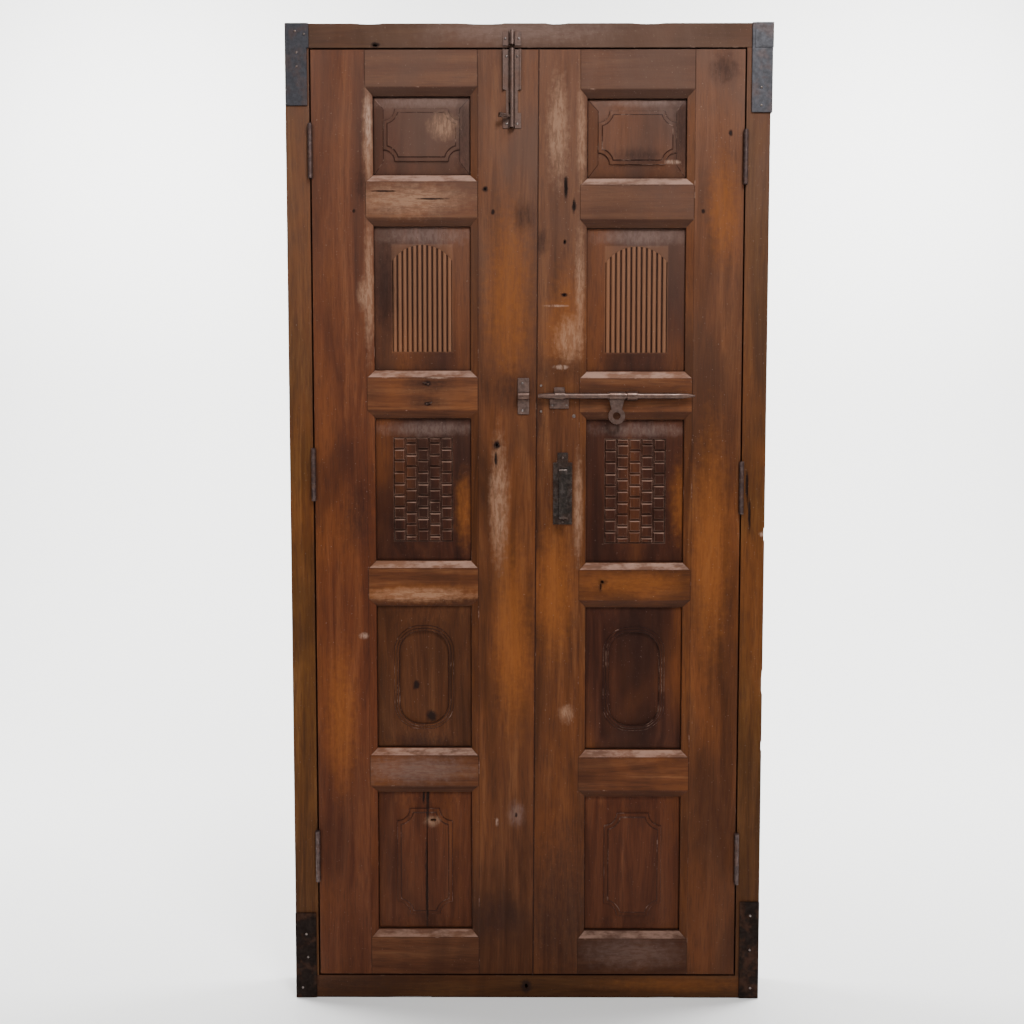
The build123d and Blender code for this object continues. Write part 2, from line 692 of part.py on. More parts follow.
TOWER_KEEPER_Z = FRAME_HEIGHT - FRAME_FACE + TOWER_KEEPER_LIFT
KNOB_Z = LEAF_TOP - KNOB_DROP - TOWER_BOLT_TRAVEL
HANDLE_Z = CROSS_Z - HANDLE_DROP
HANDLE_X = meeting_x(HANDLE_Z) + HANDLE_REACH
LOOP_RADIUS = ROD_RADIUS + LOOP_CLEARANCE

# Nails, as (x, z) places
TOP_LEFT_NAILS = [(-HALF + STRAP_EDGE_SET + across, FRAME_HEIGHT - TOP_LEFT_STRAP[1] + up)
                  for across, up in TOP_LEFT_STRAP_NAILS]
TOP_RIGHT_NAILS = [(HALF - across, FRAME_HEIGHT - TOP_RIGHT_STRAP[1] + up)
                   for across, up in TOP_RIGHT_STRAP_NAILS]
BOTTOM_LEFT_NAILS = [(-HALF + across, STRAP_FLOOR_GAP + up) for across, up in BOTTOM_LEFT_STRAP_NAILS]
BOTTOM_RIGHT_NAILS = [(HALF - across, STRAP_FLOOR_GAP + up) for across, up in BOTTOM_RIGHT_STRAP_NAILS]
TOWER_KEEPER_NAILS = [(TOWER_X + side * (TOWER_PLATE_WIDTH / 2 - TOWER_KEEPER_NAIL_SET),
                       TOWER_KEEPER_Z + TOWER_KEEPER_HEIGHT / 2) for side in (-1, 1)]
TOWER_NAILS = [(TOWER_X + side * TOWER_NAIL_REACH, z) for side in (-1, 1)
               for z in (TOWER_TOP - TOWER_NAIL_SETS[0], TOWER_FOOT + TOWER_NAIL_SETS[1])]
KEEPER_NAILS = [(KEEPER_X - KEEPER_NAIL_SHIFT, CROSS_Z + KEEPER_HEIGHT / 2 - KEEPER_NAIL_SETS[0]),
                (KEEPER_X - KEEPER_NAIL_SHIFT, CROSS_Z - KEEPER_HEIGHT / 2 + KEEPER_NAIL_SETS[1])]
GUIDE_NAILS = [(GUIDE_X + side * (GUIDE_FOOT_WIDTH / 2 - GUIDE_NAIL_SET[0]),
                CROSS_Z - GUIDE_FOOT_DROP + GUIDE_NAIL_SET[1]) for side in (-1, 1)]
LOOSE_NAILS = [(CROSS_X + LOOSE_NAIL_REACH, CROSS_Z + lift) for lift in LOOSE_NAIL_LIFTS]
HANDLE_NAILS = [(HANDLE_X, HANDLE_Z + HANDLE_PLATE[1] / 2 + HANDLE_TAB[1] / 2),
                (HANDLE_X, HANDLE_Z - HANDLE_PLATE[1] / 2 + HANDLE_NAIL_SET)]


def on_top_of(places, thickness):
    """Nails whose heads lie on a plate of a thickness."""
    return [nail(x, z, FRONT - thickness) for x, z in places]


def cross_bolt_keeper():
    """The left leaf's keeper: a strap bent over the rod, nailed above and below."""
    plane = Plane(origin=(KEEPER_X - KEEPER_WIDTH / 2, FRONT, CROSS_Z), x_dir=(0, 0, 1), z_dir=(1, 0, 0))
    loop = extrude(plane * bar_loop(CROSS_BOLT_STAND, LOOP_RADIUS, LOOP_THICK), KEEPER_WIDTH)
    x = (KEEPER_X - KEEPER_WIDTH / 2, KEEPER_X + KEEPER_WIDTH / 2)
    y = (FRONT - FOOT_THICK, FRONT)
    solid = loop + block(x, y, (CROSS_Z + LOOP_RADIUS, CROSS_Z + KEEPER_HEIGHT / 2))
    solid += block(x, y, (CROSS_Z - KEEPER_HEIGHT / 2, CROSS_Z - LOOP_RADIUS))
    return drill(solid, KEEPER_NAILS, FRONT - FOOT_THICK)


def cross_bolt_guide():
    """The right leaf's guide: a strap bent over the rod, with a wide lower foot."""
    plane = Plane(origin=(GUIDE_X - GUIDE_WIDTH / 2, FRONT, CROSS_Z), x_dir=(0, 0, 1), z_dir=(1, 0, 0))
    loop = extrude(plane * bar_loop(CROSS_BOLT_STAND, LOOP_RADIUS, LOOP_THICK), GUIDE_WIDTH)
    y = (FRONT - FOOT_THICK, FRONT)
    solid = loop + block((GUIDE_X - GUIDE_FOOT_WIDTH / 2, GUIDE_X + GUIDE_FOOT_WIDTH / 2), y,
                         (CROSS_Z - GUIDE_FOOT_DROP, CROSS_Z - LOOP_RADIUS))
    solid += block((GUIDE_X - GUIDE_WIDTH / 2, GUIDE_X + GUIDE_WIDTH / 2), y,
                   (CROSS_Z + LOOP_RADIUS, CROSS_Z + LOOP_RADIUS + GUIDE_LIP))
    return drill(solid, GUIDE_NAILS, FRONT - FOOT_THICK)


def staple_legs():
    """The two flat legs of the driven staple, in the wood."""
    outer = LOOP_RADIUS + LOOP_THICK
    x = (STAPLE_X - STAPLE_WIDTH / 2, STAPLE_X + STAPLE_WIDTH / 2)
    y = (FRONT, FRONT + STAPLE_LEG)
    return [block(x, y, (CROSS_Z + side * LOOP_RADIUS, CROSS_Z + side * outer)) for side in (-1, 1)]


def cross_bolt_staple():
    """A strap bent over the rod's right end with its legs driven into the rail."""
    plane = Plane(origin=(STAPLE_X - STAPLE_WIDTH / 2, FRONT, CROSS_Z), x_dir=(0, 0, 1), z_dir=(1, 0, 0))
    loop = extrude(plane * bar_loop(CROSS_BOLT_STAND, LOOP_RADIUS, LOOP_THICK), STAPLE_WIDTH)
    return loop + staple_legs()


def cross_bolt_rod():
    """The forged rod, drawn back: a blunt nose, a journal for the hasp and a pointed tail."""
    nose = CROSS_X - ROD_NOSE_REACH + CROSS_BOLT_TRAVEL
    tail = nose + ROD_LENGTH
    ends = (nose + NOSE_LENGTH, tail - TAIL_LENGTH)
    journal = (HASP_X - HASP_FIT, HASP_X + HASP_WIDTH + HASP_FIT)
    solid = rod("x", (0, 0), ROD_RADIUS, *ends)
    solid += rod("x", (0, 0), ROD_SHOULDER_RADIUS, journal[0] - ROD_SHOULDER_WIDTH, journal[0])
    solid += rod("x", (0, 0), ROD_SHOULDER_RADIUS, journal[1], journal[1] + ROD_SHOULDER_WIDTH)
    taper = [(0, NOSE_TIP_RADIUS), (NOSE_LENGTH / 2, ROD_RADIUS), (NOSE_LENGTH + CUT, ROD_RADIUS)]
    point = [(-CUT, ROD_RADIUS), (TAIL_LENGTH / 2, TAIL_RADIUS), (TAIL_LENGTH, TAIL_TIP_RADIUS)]
    solid += spindle(nose, taper) + spindle(ends[1], point)
    return Pos(0, CROSS_Y, CROSS_Z) * solid


def hasp():
    """A collar that turns on the rod, with a tapered tongue and a round eye for a padlock."""
    x = (HASP_X, HASP_X + HASP_WIDTH)
    bore = ROD_RADIUS + HASP_FIT
    back = CROSS_Y + HASP_THICK / 2
    tongue_top = bore + HASP_COLLAR_THICK / 3
    outline = [
        (x[0], CROSS_Z - tongue_top),
        (x[1], CROSS_Z - tongue_top),
        (EYE_X + HASP_WAIST / 2, CROSS_Z - HASP_WAIST_DROP),
        (EYE_X + HASP_WAIST / 3, EYE_Z),
        (EYE_X - HASP_WAIST / 3, EYE_Z),
        (EYE_X - HASP_WAIST / 2, CROSS_Z - HASP_WAIST_DROP),
    ]
    solid = prism("y", outline, back - HASP_THICK, back)
    solid += extrude(facing(EYE_X, back, EYE_Z) * Circle(EYE_RADIUS), HASP_THICK)
    along = Plane(origin=(HASP_X, CROSS_Y, CROSS_Z), x_dir=(0, 1, 0), z_dir=(1, 0, 0))
    solid += extrude(along * RegularPolygon(bore + HASP_COLLAR_THICK, ROUND_SIDES), HASP_WIDTH)
    through = RegularPolygon(bore / math.cos(math.pi / ROUND_SIDES), ROUND_SIDES)
    solid -= extrude(along.offset(-CUT) * through, HASP_WIDTH + 2 * CUT)
    return solid - extrude(facing(EYE_X, back + CUT, EYE_Z) * Circle(EYE_HOLE_RADIUS), HASP_THICK + 2 * CUT)


def tower_bolt_plate():
    """One pressed plate: a half-round barrel for the rod, nailed flanges at both ends, folded rims."""
    inner = TOWER_ROD_RADIUS + TOWER_LOOP_CLEARANCE
    half = TOWER_PLATE_WIDTH / 2
    y = (FRONT - TOWER_PLATE_THICK, FRONT)
    solid = block((TOWER_X - half, TOWER_X + half), y, (TOWER_TOP - TOWER_FLANGE_HEIGHT, TOWER_TOP))
    solid += block((TOWER_X - half, TOWER_X + half), y, (TOWER_FOOT, TOWER_FOOT + TOWER_FOOT_HEIGHT))
    solid += block((TOWER_X - TOWER_NECK_WIDTH / 2, TOWER_X + TOWER_NECK_WIDTH / 2), y,
                   (TOWER_FOOT, TOWER_TOP))
    for side in (-1, 1):
        outer = TOWER_X + side * half
        solid += block((outer, outer - side * TOWER_RIM_WIDTH), (FRONT - TOWER_RIM_HEIGHT, FRONT),
                       (TOWER_TOP - TOWER_FLANGE_HEIGHT, TOWER_TOP))
    plane = Plane(origin=(TOWER_X, FRONT, TOWER_TOP), x_dir=(1, 0, 0), z_dir=(0, 0, -1))
    solid += extrude(plane * bar_loop(TOWER_ROD_STAND, inner, TOWER_PLATE_THICK), TOWER_PLATE_LENGTH)
    ends = (TOWER_FOOT - CUT, TOWER_TOP + CUT)
    solid -= block((TOWER_X - inner, TOWER_X + inner), (TOWER_Y, FRONT + CUT), ends)
    solid -= rod("z", (TOWER_X, TOWER_Y), inner, *ends)
    width = KNOB_STEM + 2 * SLOT_CLEARANCE
    slot = Pos(-KNOB_START, 0, TOWER_BOLT_TRAVEL / 2) * Box(2 * KNOB_START, width, TOWER_BOLT_TRAVEL + width)
    solid -= Pos(TOWER_X, TOWER_Y, KNOB_Z) * Rot(0, 0, KNOB_TURN) * slot
    return drill(solid, TOWER_NAILS, FRONT - TOWER_PLATE_THICK)


def tower_bolt_rod():
    """The round rod, drawn down, and the knob on its side, turned a little out from the leaf."""
    top = LEAF_TOP + TOWER_ROD_RISE - TOWER_BOLT_TRAVEL
    solid = rod("z", (TOWER_X, TOWER_Y), TOWER_ROD_RADIUS, top - TOWER_ROD_LENGTH, top)
    stem = Pos(-KNOB_START / 2, 0, 0) * Box(KNOB_START, KNOB_STEM, KNOB_STEM)
    end = KNOB_START + KNOB_LENGTH
    knob = spindle(-end, [(0, KNOB_RADIUS), (KNOB_LENGTH, KNOB_NECK_RADIUS)])
    return solid + Pos(TOWER_X, TOWER_Y, KNOB_Z) * Rot(0, 0, KNOB_TURN) * (stem + knob)


def tower_bolt_keeper():
    """A pressed keeper on the head with a half-round barrel for the rod's top."""
    inner = TOWER_ROD_RADIUS + TOWER_LOOP_CLEARANCE
    top = TOWER_KEEPER_Z + TOWER_KEEPER_HEIGHT
    half = TOWER_PLATE_WIDTH / 2
    y = (FRONT - TOWER_PLATE_THICK, FRONT)
    solid = block((TOWER_X - half, TOWER_X + half), y, (TOWER_KEEPER_Z, top))
    plane = Plane(origin=(TOWER_X, FRONT, top), x_dir=(1, 0, 0), z_dir=(0, 0, -1))
    solid += extrude(plane * bar_loop(TOWER_ROD_STAND, inner, TOWER_PLATE_THICK), TOWER_KEEPER_HEIGHT)
    ends = (TOWER_KEEPER_Z - CUT, top + CUT)
    solid -= block((TOWER_X - inner, TOWER_X + inner), (TOWER_Y, FRONT + CUT), ends)
    solid -= rod("z", (TOWER_X, TOWER_Y), inner, *ends)
    return drill(solid, TOWER_KEEPER_NAILS, FRONT - TOWER_PLATE_THICK)


def handle_plate():
    """The pull handle's back plate with a nailed tab at its top."""
    width, height = HANDLE_PLATE
    y = (FRONT - HANDLE_PLATE_THICK, FRONT)
    top = HANDLE_Z + height / 2
    solid = block((HANDLE_X - width / 2, HANDLE_X + width / 2), y, (HANDLE_Z - height / 2, top))
    tab_width, tab_height = HANDLE_TAB
    solid += block((HANDLE_X - tab_width / 2, HANDLE_X + tab_width / 2), y, (top, top + tab_height))
    return drill(solid, HANDLE_NAILS, FRONT - HANDLE_PLATE_THICK)


def handle_grip():
    """A flat bar bent into a grip, its two feet on the plate."""
    base = FRONT - HANDLE_PLATE_THICK
    x = (HANDLE_X - GRIP_WIDTH / 2, HANDLE_X + GRIP_WIDTH / 2)
    half = GRIP_LENGTH / 2
    outer = block(x, (base - GRIP_STAND, base), (HANDLE_Z - half, HANDLE_Z + half))
    outer = fillet(outer.edges().filter_by(Axis.X).group_by(Axis.Y)[0], GRIP_CORNER)
    inner = block((x[0] - CUT, x[1] + CUT), (base - GRIP_STAND + GRIP_THICK, base + CUT),
                  (HANDLE_Z - half + GRIP_THICK, HANDLE_Z + half - GRIP_THICK))
    inner = fillet(inner.edges().filter_by(Axis.X).group_by(Axis.Y)[0], GRIP_CORNER - GRIP_THICK)
    return outer - inner


def make_leaf(side, name, span, openings, parts):
    """All the joinery of one leaf: two stiles, six rails and five carved panels."""
    heights = rail_heights(openings)
    edge = side * (HALF - FRAME_FACE - LEAF_GAP)
    inner = (span[0] + BEVEL_WIDTH, span[1] - BEVEL_WIDTH)
    hinge_inner, meeting_inner = inner if side < 0 else inner[::-1]
    hinge_stile = stile(hinge_inner, -side, edge, edge, 0, heights)
    for z in hinge_heights(side):
        hinge_stile -= hinge_recess(side, z, -side)
    parts[name + "_hinge_stile"] = hinge_stile
    shift = side * MEETING_GAP / 2
    meeting_edge = (meeting_x(LEAF_FOOT) + shift, meeting_x(LEAF_TOP) + shift)
    parts[name + "_meeting_stile"] = stile(meeting_inner, side, *meeting_edge, MEETING_RELIEF, heights)
    for number in range(len(heights)):
        parts[f"{name}_rail_{len(heights) - number}"] = rail(span, heights, number)
    carvings = [
        ("tall_tablet", TALL_TABLET_MARGIN, carve_tablet, TALL_NOTCH_RADIUS),
        ("oval", OVAL_MARGIN, carve_oval),
        ("bricks", BRICK_MARGIN, carve_bricks),
        ("reeded_arch", ARCH_MARGIN, carve_arch),
        ("tablet", TABLET_MARGIN, carve_tablet, NOTCH_RADIUS),
    ]
    for opening, (title, margin, carve, *details) in zip(openings, carvings):
        parts[f"{name}_panel_{title}"] = panel(span, opening, margin, carve, *details)


def make_frame(parts):
    """Head, sill and jambs, and the iron straps nailed over their corners."""
    head = cross_member(FRAME_HEIGHT - FRAME_FACE, FRAME_HEIGHT,
                        FRAME_HEIGHT - FRAME_FACE - STOP_WIDTH, FRAME_HEIGHT)
    sill = cross_member(0, FRAME_FACE, 0, FRAME_FACE + STOP_WIDTH)
    left = jamb(-1, sill, head)
    right = jamb(1, sill, head)
    top_left = flat_strap(-HALF + STRAP_EDGE_SET, TOP_LEFT_STRAP[0],
                          FRAME_HEIGHT - TOP_LEFT_STRAP[1], TOP_LEFT_STRAP[1])
    top_left += flat_strap(-HALF + STRAP_EDGE_SET, TOP_LEFT_STRAP_HEAD, FRAME_HEIGHT - FRAME_FACE, FRAME_FACE)
    bottom_left = flat_strap(-HALF, BOTTOM_LEFT_STRAP[0], STRAP_FLOOR_GAP, BOTTOM_LEFT_STRAP[1])
    bottom_right = flat_strap(HALF - BOTTOM_RIGHT_STRAP[0], BOTTOM_RIGHT_STRAP[0],
                              STRAP_FLOOR_GAP, BOTTOM_RIGHT_STRAP[1])
    strap_face = FRONT - STRAP_THICK
    corners = {
        "corner_strap_top_left": (top_left, TOP_LEFT_NAILS),
        "corner_strap_top_right": (top_right_strap(), TOP_RIGHT_NAILS),
        "corner_strap_bottom_left": (bottom_left, BOTTOM_LEFT_NAILS),
        "corner_strap_bottom_right": (bottom_right, BOTTOM_RIGHT_NAILS),
    }
    for title, (solid, places) in corners.items():
        parts[title] = drill(solid, places, strap_face)
    parts["frame_head"] = drill(drill(head, TOP_LEFT_NAILS, strap_face), TOWER_KEEPER_NAILS, FRONT)
    parts["frame_sill"] = drill(sill, BOTTOM_LEFT_NAILS + BOTTOM_RIGHT_NAILS, strap_face)
    parts["frame_jamb_left"] = drill(left, TOP_LEFT_NAILS + BOTTOM_LEFT_NAILS, strap_face)
    parts["frame_jamb_right"] = drill(right, TOP_RIGHT_NAILS + BOTTOM_RIGHT_NAILS, strap_face)
    places = TOP_LEFT_NAILS + TOP_RIGHT_NAILS + BOTTOM_LEFT_NAILS + BOTTOM_RIGHT_NAILS
    nails = on_top_of(places, STRAP_THICK) + on_top_of(TOWER_KEEPER_NAILS, TOWER_PLATE_THICK)
    parts["frame_nails"] = Compound(nails)


def make_hinges(parts):
    """Three butt hinges a leaf, each of two halves, and their pins."""
    frame_knuckles = range(0, KNUCKLE_COUNT, 2)
    leaf_knuckles = range(1, KNUCKLE_COUNT, 2)
    pins = []
    for side, name in ((-1, "left"), (1, "right")):
        for place, z in zip(("bottom", "middle", "top"), hinge_heights(side)):
            parts[f"{name}_hinge_{place}_frame_half"] = hinge_half(side, z, side, frame_knuckles)
            parts[f"{name}_hinge_{place}_leaf_half"] = hinge_half(side, z, -side, leaf_knuckles)
            pins.append(hinge_pin(side, z))
    parts["hinge_pins"] = Compound(pins)


def make_hardware(parts):
    """Both bolts, the hasp and the pull handle, with the nails that hold them."""
    parts["tower_bolt_plate"] = tower_bolt_plate()
    parts["tower_bolt_rod"] = tower_bolt_rod()
    parts["tower_bolt_keeper"] = tower_bolt_keeper()
    parts["cross_bolt_rod"] = cross_bolt_rod()
    parts["cross_bolt_hasp"] = hasp()
    parts["cross_bolt_keeper"] = cross_bolt_keeper()
    parts["cross_bolt_guide"] = cross_bolt_guide()
    parts["cross_bolt_staple"] = cross_bolt_staple()
    parts["pull_handle_plate"] = handle_plate()
    parts["pull_handle_grip"] = handle_grip()
    parts["left_meeting_stile"] = drill(parts["left_meeting_stile"], TOWER_NAILS + KEEPER_NAILS, FRONT)
    parts["left_rail_1"] = drill(parts["left_rail_1"], TOWER_NAILS, FRONT)
    stile_cuts = GUIDE_NAILS + LOOSE_NAILS + HANDLE_NAILS + [(STUD_X, EYE_Z)]
    parts["right_meeting_stile"] = drill(parts["right_meeting_stile"], stile_cuts, FRONT)
    parts["right_rail_3"] = parts["right_rail_3"] - staple_legs()
    left_nails = on_top_of(TOWER_NAILS, TOWER_PLATE_THICK) + on_top_of(KEEPER_NAILS, FOOT_THICK)
    parts["left_leaf_nails"] = Compound(left_nails)
    right_nails = on_top_of(GUIDE_NAILS, FOOT_THICK) + on_top_of(LOOSE_NAILS, 0)
    right_nails += on_top_of(HANDLE_NAILS, HANDLE_PLATE_THICK)
    right_nails.append(nail(STUD_X, EYE_Z, FRONT, STUD_HEAD))
    parts["right_leaf_nails"] = Compound(right_nails)


def main():
    parts = {}
    make_frame(parts)
    make_leaf(-1, "left", LEFT_SPAN, LEFT_OPENINGS, parts)
    make_leaf(1, "right", RIGHT_SPAN, RIGHT_OPENINGS, parts)
    make_hinges(parts)
    make_hardware(parts)
    os.makedirs("parts", exist_ok=True)
    for name, solid in parts.items():
        export_step(solid, f"parts/{name}.step")


main()
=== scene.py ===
import json
import math

import bmesh
import bpy
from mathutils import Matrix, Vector, noise


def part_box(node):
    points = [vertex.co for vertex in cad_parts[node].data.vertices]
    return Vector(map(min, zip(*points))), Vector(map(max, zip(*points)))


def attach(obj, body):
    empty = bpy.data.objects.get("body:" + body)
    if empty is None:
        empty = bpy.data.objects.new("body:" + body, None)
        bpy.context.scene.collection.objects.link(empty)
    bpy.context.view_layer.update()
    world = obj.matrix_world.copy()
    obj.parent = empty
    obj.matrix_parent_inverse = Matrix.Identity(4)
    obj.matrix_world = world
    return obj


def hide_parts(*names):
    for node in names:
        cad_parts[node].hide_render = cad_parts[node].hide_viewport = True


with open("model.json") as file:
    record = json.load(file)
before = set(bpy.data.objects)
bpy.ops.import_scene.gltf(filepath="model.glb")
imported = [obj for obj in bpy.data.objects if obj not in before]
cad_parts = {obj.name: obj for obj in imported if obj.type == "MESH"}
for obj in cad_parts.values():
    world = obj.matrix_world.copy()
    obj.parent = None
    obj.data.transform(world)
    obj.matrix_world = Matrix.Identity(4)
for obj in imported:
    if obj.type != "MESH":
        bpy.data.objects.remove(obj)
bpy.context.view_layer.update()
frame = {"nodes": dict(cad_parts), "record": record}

bl_info = {
    "name": "Carved timber door",
    "version": (1, 0, 0),
    "blender": (4, 5, 0),
    "location": "View3D > Sidebar > Door",
    "description": "Dresses a two-leaf carved door: worn boards, forged iron, nails and a plain stage",
    "category": "Add Mesh",
}

MM = 0.001
LEAVES = ("left", "right")
PANELS = ("tablet", "reeded_arch", "bricks", "oval", "tall_tablet")
RAILS = range(1, 7)

# Where the wood's front face and the door's top stand
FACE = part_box("frame_head")[0].y
DOOR_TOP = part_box("frame_head")[1].z
# How far outside the panels' openings the rails' shoulders stand
SHOULDER = 16 * MM

# The finishes of a board's faces, in the order of its material slots
# Up-facing slopes and brick edges carry a painted highlight, partly wear; down-facing slopes and breaks
# painted shade, partly dirt; eased edges are darkened, partly as painted shade
FINISHES = ("face", "rubbed_and_lit", "grimy_and_shaded", "eased")
LIT_AND_RUBBED = FINISHES.index("rubbed_and_lit")
SHADED_AND_GRIMY = FINISHES.index("grimy_and_shaded")
EASED = FINISHES.index("eased")

# Worn edges: how far behind the front face they lie at most, and how sharp they are at least, in degrees
FRAME_WEAR = (60 * MM, 60)
LEAF_WEAR = (10 * MM, 20)
PANEL_WEAR = (15 * MM, 20)
PANEL_EDGE = 0.9 * MM
# Softened edges of iron: how sharp they are at least, in degrees, and their width
IRON_ANGLE = 28
IRON_EDGE = 0.35 * MM
# Flats across a rounded edge
EDGE_STEPS = 2
# How much a slope turns up or down before it gets its painted highlight or painted shade, and how much it
# turns to the front at least
STEEP = 0.3
FRONTAL = 0.15

# Breaks: the sides of the shape that is cut out, the waves of its rim in a metre, how far they sway it,
# how much of that goes across and up, and how much narrower and lower it is at its bottom
BREAK_SIDES = 28
BREAK_WAVES = 90
BREAK_SWAY = 0.7
SWAY_ACROSS = 0.6
SWAY_UP = 0.25
TAPER_ACROSS = 0.5
TAPER_UP = 0.25
# The least share of a board's size that a break may leave
LEAST_LEFT = 0.98

# Dark strips in the meeting gap, painted shade partly packed dirt: how far behind the front face each leaf's
# strip lies, how deep it is rooted in its leaf, its thickness, the cuts along it, the waves of its face in a
# metre and their height
STRIP_DEPTHS = {"left": 1.9 * MM, "right": 5.0 * MM}
STRIP_ROOT = 0.7 * MM
STRIP_THICKNESS = 1.6 * MM
STRIP_CUTS = 60
STRIP_WAVES = 40
STRIP_SWAY = 0.6 * MM
# How light the dark strip is beside its board
STRIP_LIGHT = 0.2

# Marks stay on a board's front: how far behind the front face they start to fade and where they end
MARKS_FADE = 18 * MM
MARKS_END = 24 * MM
# The rag of a mark's outline, as a share of its reach, and the rag's scale
MARK_RAG = 1.6
MARK_RAG_SCALE = 70.0

# Dirt, wear, painted shade and a darker foot on wood and iron, as colours in linear light
DARK_FIBRES = (0.025, 0.009, 0.005, 1)
# Grease, partly painted shade on down-facing slopes, in breaks and on eased edges
GREASE_AND_SHADE = (0.016, 0.005, 0.003, 1)
# Painted shade in corners, grooves and between parts, partly dirt
CORNER_SHADE_AND_DIRT = (0.014, 0.006, 0.004, 1)
JOINT_DIRT = (0.012, 0.005, 0.003, 1)
PALE_SPECKS = (0.4, 0.28, 0.22, 1)
# The colour the wood darkens to towards the bottom
DARKER_FOOT = (0.02, 0.006, 0.002, 1)
RUST = (0.09, 0.035, 0.018, 1)

# Each iron's dark, middle and light tone in linear light
HINGE_IRON = ((0.022, 0.012, 0.011), (0.055, 0.032, 0.028), (0.12, 0.078, 0.07))
HANDLE_IRON = ((0.012, 0.009, 0.008), (0.035, 0.027, 0.023), (0.12, 0.095, 0.085))
NAIL_IRON = ((0.05, 0.038, 0.033), (0.14, 0.11, 0.1), (0.4, 0.35, 0.32))
STUB_IRON = ((0.02, 0.012, 0.01), (0.06, 0.035, 0.028), (0.16, 0.11, 0.09))
# Gloss of the corner straps, of which the lower ones are corroded
UPPER_GLOSS = 0.5
LOWER_GLOSS = 0.1

# Bent nail stubs, upper and lower: the place across and up, in millimetres, and the side they lean to
BENT_NAILS = ((-210, 1337, -1), (-213, 1295, 1))
STUB_SIDE = 3.4 * MM
STUB_ROOT = 1.2 * MM
STUB_EDGE = 0.5 * MM
# The steps of a stub's bend, in millimetres, and how much thinner it gets with each
STUB_BENDS = (((1.2, -2.2, 0.4), 0.95), ((3.4, -1.6, 1.2), 0.85), ((5.0, -0.2, 1.6), 0.8))

# The stage in metres: the floor's side, where it turns up behind the door, how high it goes and the bend
FLOOR_SIDE = 14.0
BACKDROP_PLACE = 3.0
BACKDROP_HEIGHT = 8.0
BACKDROP_BEND = 1.6
BEND_STEPS = 16
# Lamps: the name, the place, the point it is aimed at, its side in metres and its power in watts
LAMPS = (
    ("key", (1.1, -2.5, 4.3), (0.0, 0.0, 1.15), 1.2, 175),
    ("fill", (-0.6, -3.4, 1.9), (0.0, 0.0, 1.0), 2.0, 20),
    ("backdrop_left", (-2.0, 0.7, 3.3), (-2.0, 3.0, 0.9), 1.2, 330),
    ("backdrop_right", (2.0, 0.7, 3.3), (2.0, 3.0, 0.9), 1.2, 330),
)
SKY_STRENGTH = 0.33
SENSOR_WIDTH = 36


# Selection and mesh helpers


def bare_scene():
    """Leaves edit mode and deselects everything."""
    if bpy.context.object and bpy.context.object.mode == "EDIT":
        bpy.ops.object.mode_set(mode="OBJECT")
    bpy.ops.object.select_all(action="DESELECT")


def pick(piece):
    """Makes one piece the selected and active object."""
    bare_scene()
    piece.select_set(True)
    bpy.context.view_layer.objects.active = piece


def edit(piece):
    """Opens a piece in edit mode with nothing selected."""
    pick(piece)
    bpy.ops.object.mode_set(mode="EDIT")
    bpy.ops.mesh.select_all(action="DESELECT")
    return bmesh.from_edit_mesh(piece.data)


def show(piece, chosen):
    """Selects the given edges or faces of a piece that is open in edit mode."""
    for element in chosen:
        element.select_set(True)
    bmesh.update_edit_mesh(piece.data)


def done():
    """Closes edit mode."""
    bpy.ops.object.mode_set(mode="OBJECT")


def settle(piece):
    """Puts a piece's place into its mesh, with its object at the origin."""
    pick(piece)
    bpy.ops.object.transform_apply(location=True, rotation=True, scale=True)


def copy_of(node, name, materials):
    """A copy of a CAD node's mesh as a new piece, its loose triangles merged into flat faces."""
    piece = bpy.data.objects.new(name, frame["nodes"][node].data.copy())
    bpy.context.scene.collection.objects.link(piece)
    piece.data.materials.clear()
    for material in materials:
        piece.data.materials.append(material)
    edit(piece)
    bpy.ops.mesh.select_all(action="SELECT")
    bpy.ops.mesh.remove_doubles(threshold=0.01 * MM)
    bpy.ops.mesh.dissolve_limited(angle_limit=math.radians(0.5))
    done()
    return piece


def cut_break(piece, x, z, across, up, depth):
    """Cuts a ragged hole, split or chip into a board's face. All lengths are in metres."""
    bare_scene()
    bpy.ops.mesh.primitive_cylinder_add(vertices=BREAK_SIDES, radius=1.0, depth=1.0, location=(0, 0, 0))
    cutter = bpy.context.object
    cutter.name = "cutter"
    cutter.rotation_euler = (math.pi / 2, 0, 0)
    settle(cutter)
    cutter.scale = (across, 2 * depth, up)
    cutter.location = (x, FACE, z)
    settle(cutter)
    mesh = edit(cutter)
    for vertex in mesh.verts:
        sway = noise.noise(Vector((vertex.co.x, 0, vertex.co.z)) * BREAK_WAVES) * BREAK_SWAY
        vertex.co.x += sway * across * SWAY_ACROSS
        vertex.co.z += sway * up * SWAY_UP
        if vertex.co.y > FACE:
            vertex.co.x += (x - vertex.co.x) * TAPER_ACROSS
            vertex.co.z += (z - vertex.co.z) * TAPER_UP
    # The break's inside takes the darkened finish: painted shade in the hollow, partly dirt
    for face in mesh.faces:
        face.material_index = SHADED_AND_GRIMY
    done()
    for material in piece.data.materials:
        cutter.data.materials.append(material)
    reach = piece.dimensions.length
    apply_modifier(piece, "BOOLEAN", operation="DIFFERENCE", object=cutter, solver="EXACT")
    bpy.data.objects.remove(cutter, do_unlink=True)
    bpy.context.view_layer.update()
    if piece.dimensions.length < LEAST_LEFT * reach:
        raise RuntimeError(f"The break at {x:.3f}, {z:.3f} took too much of {piece.name}")


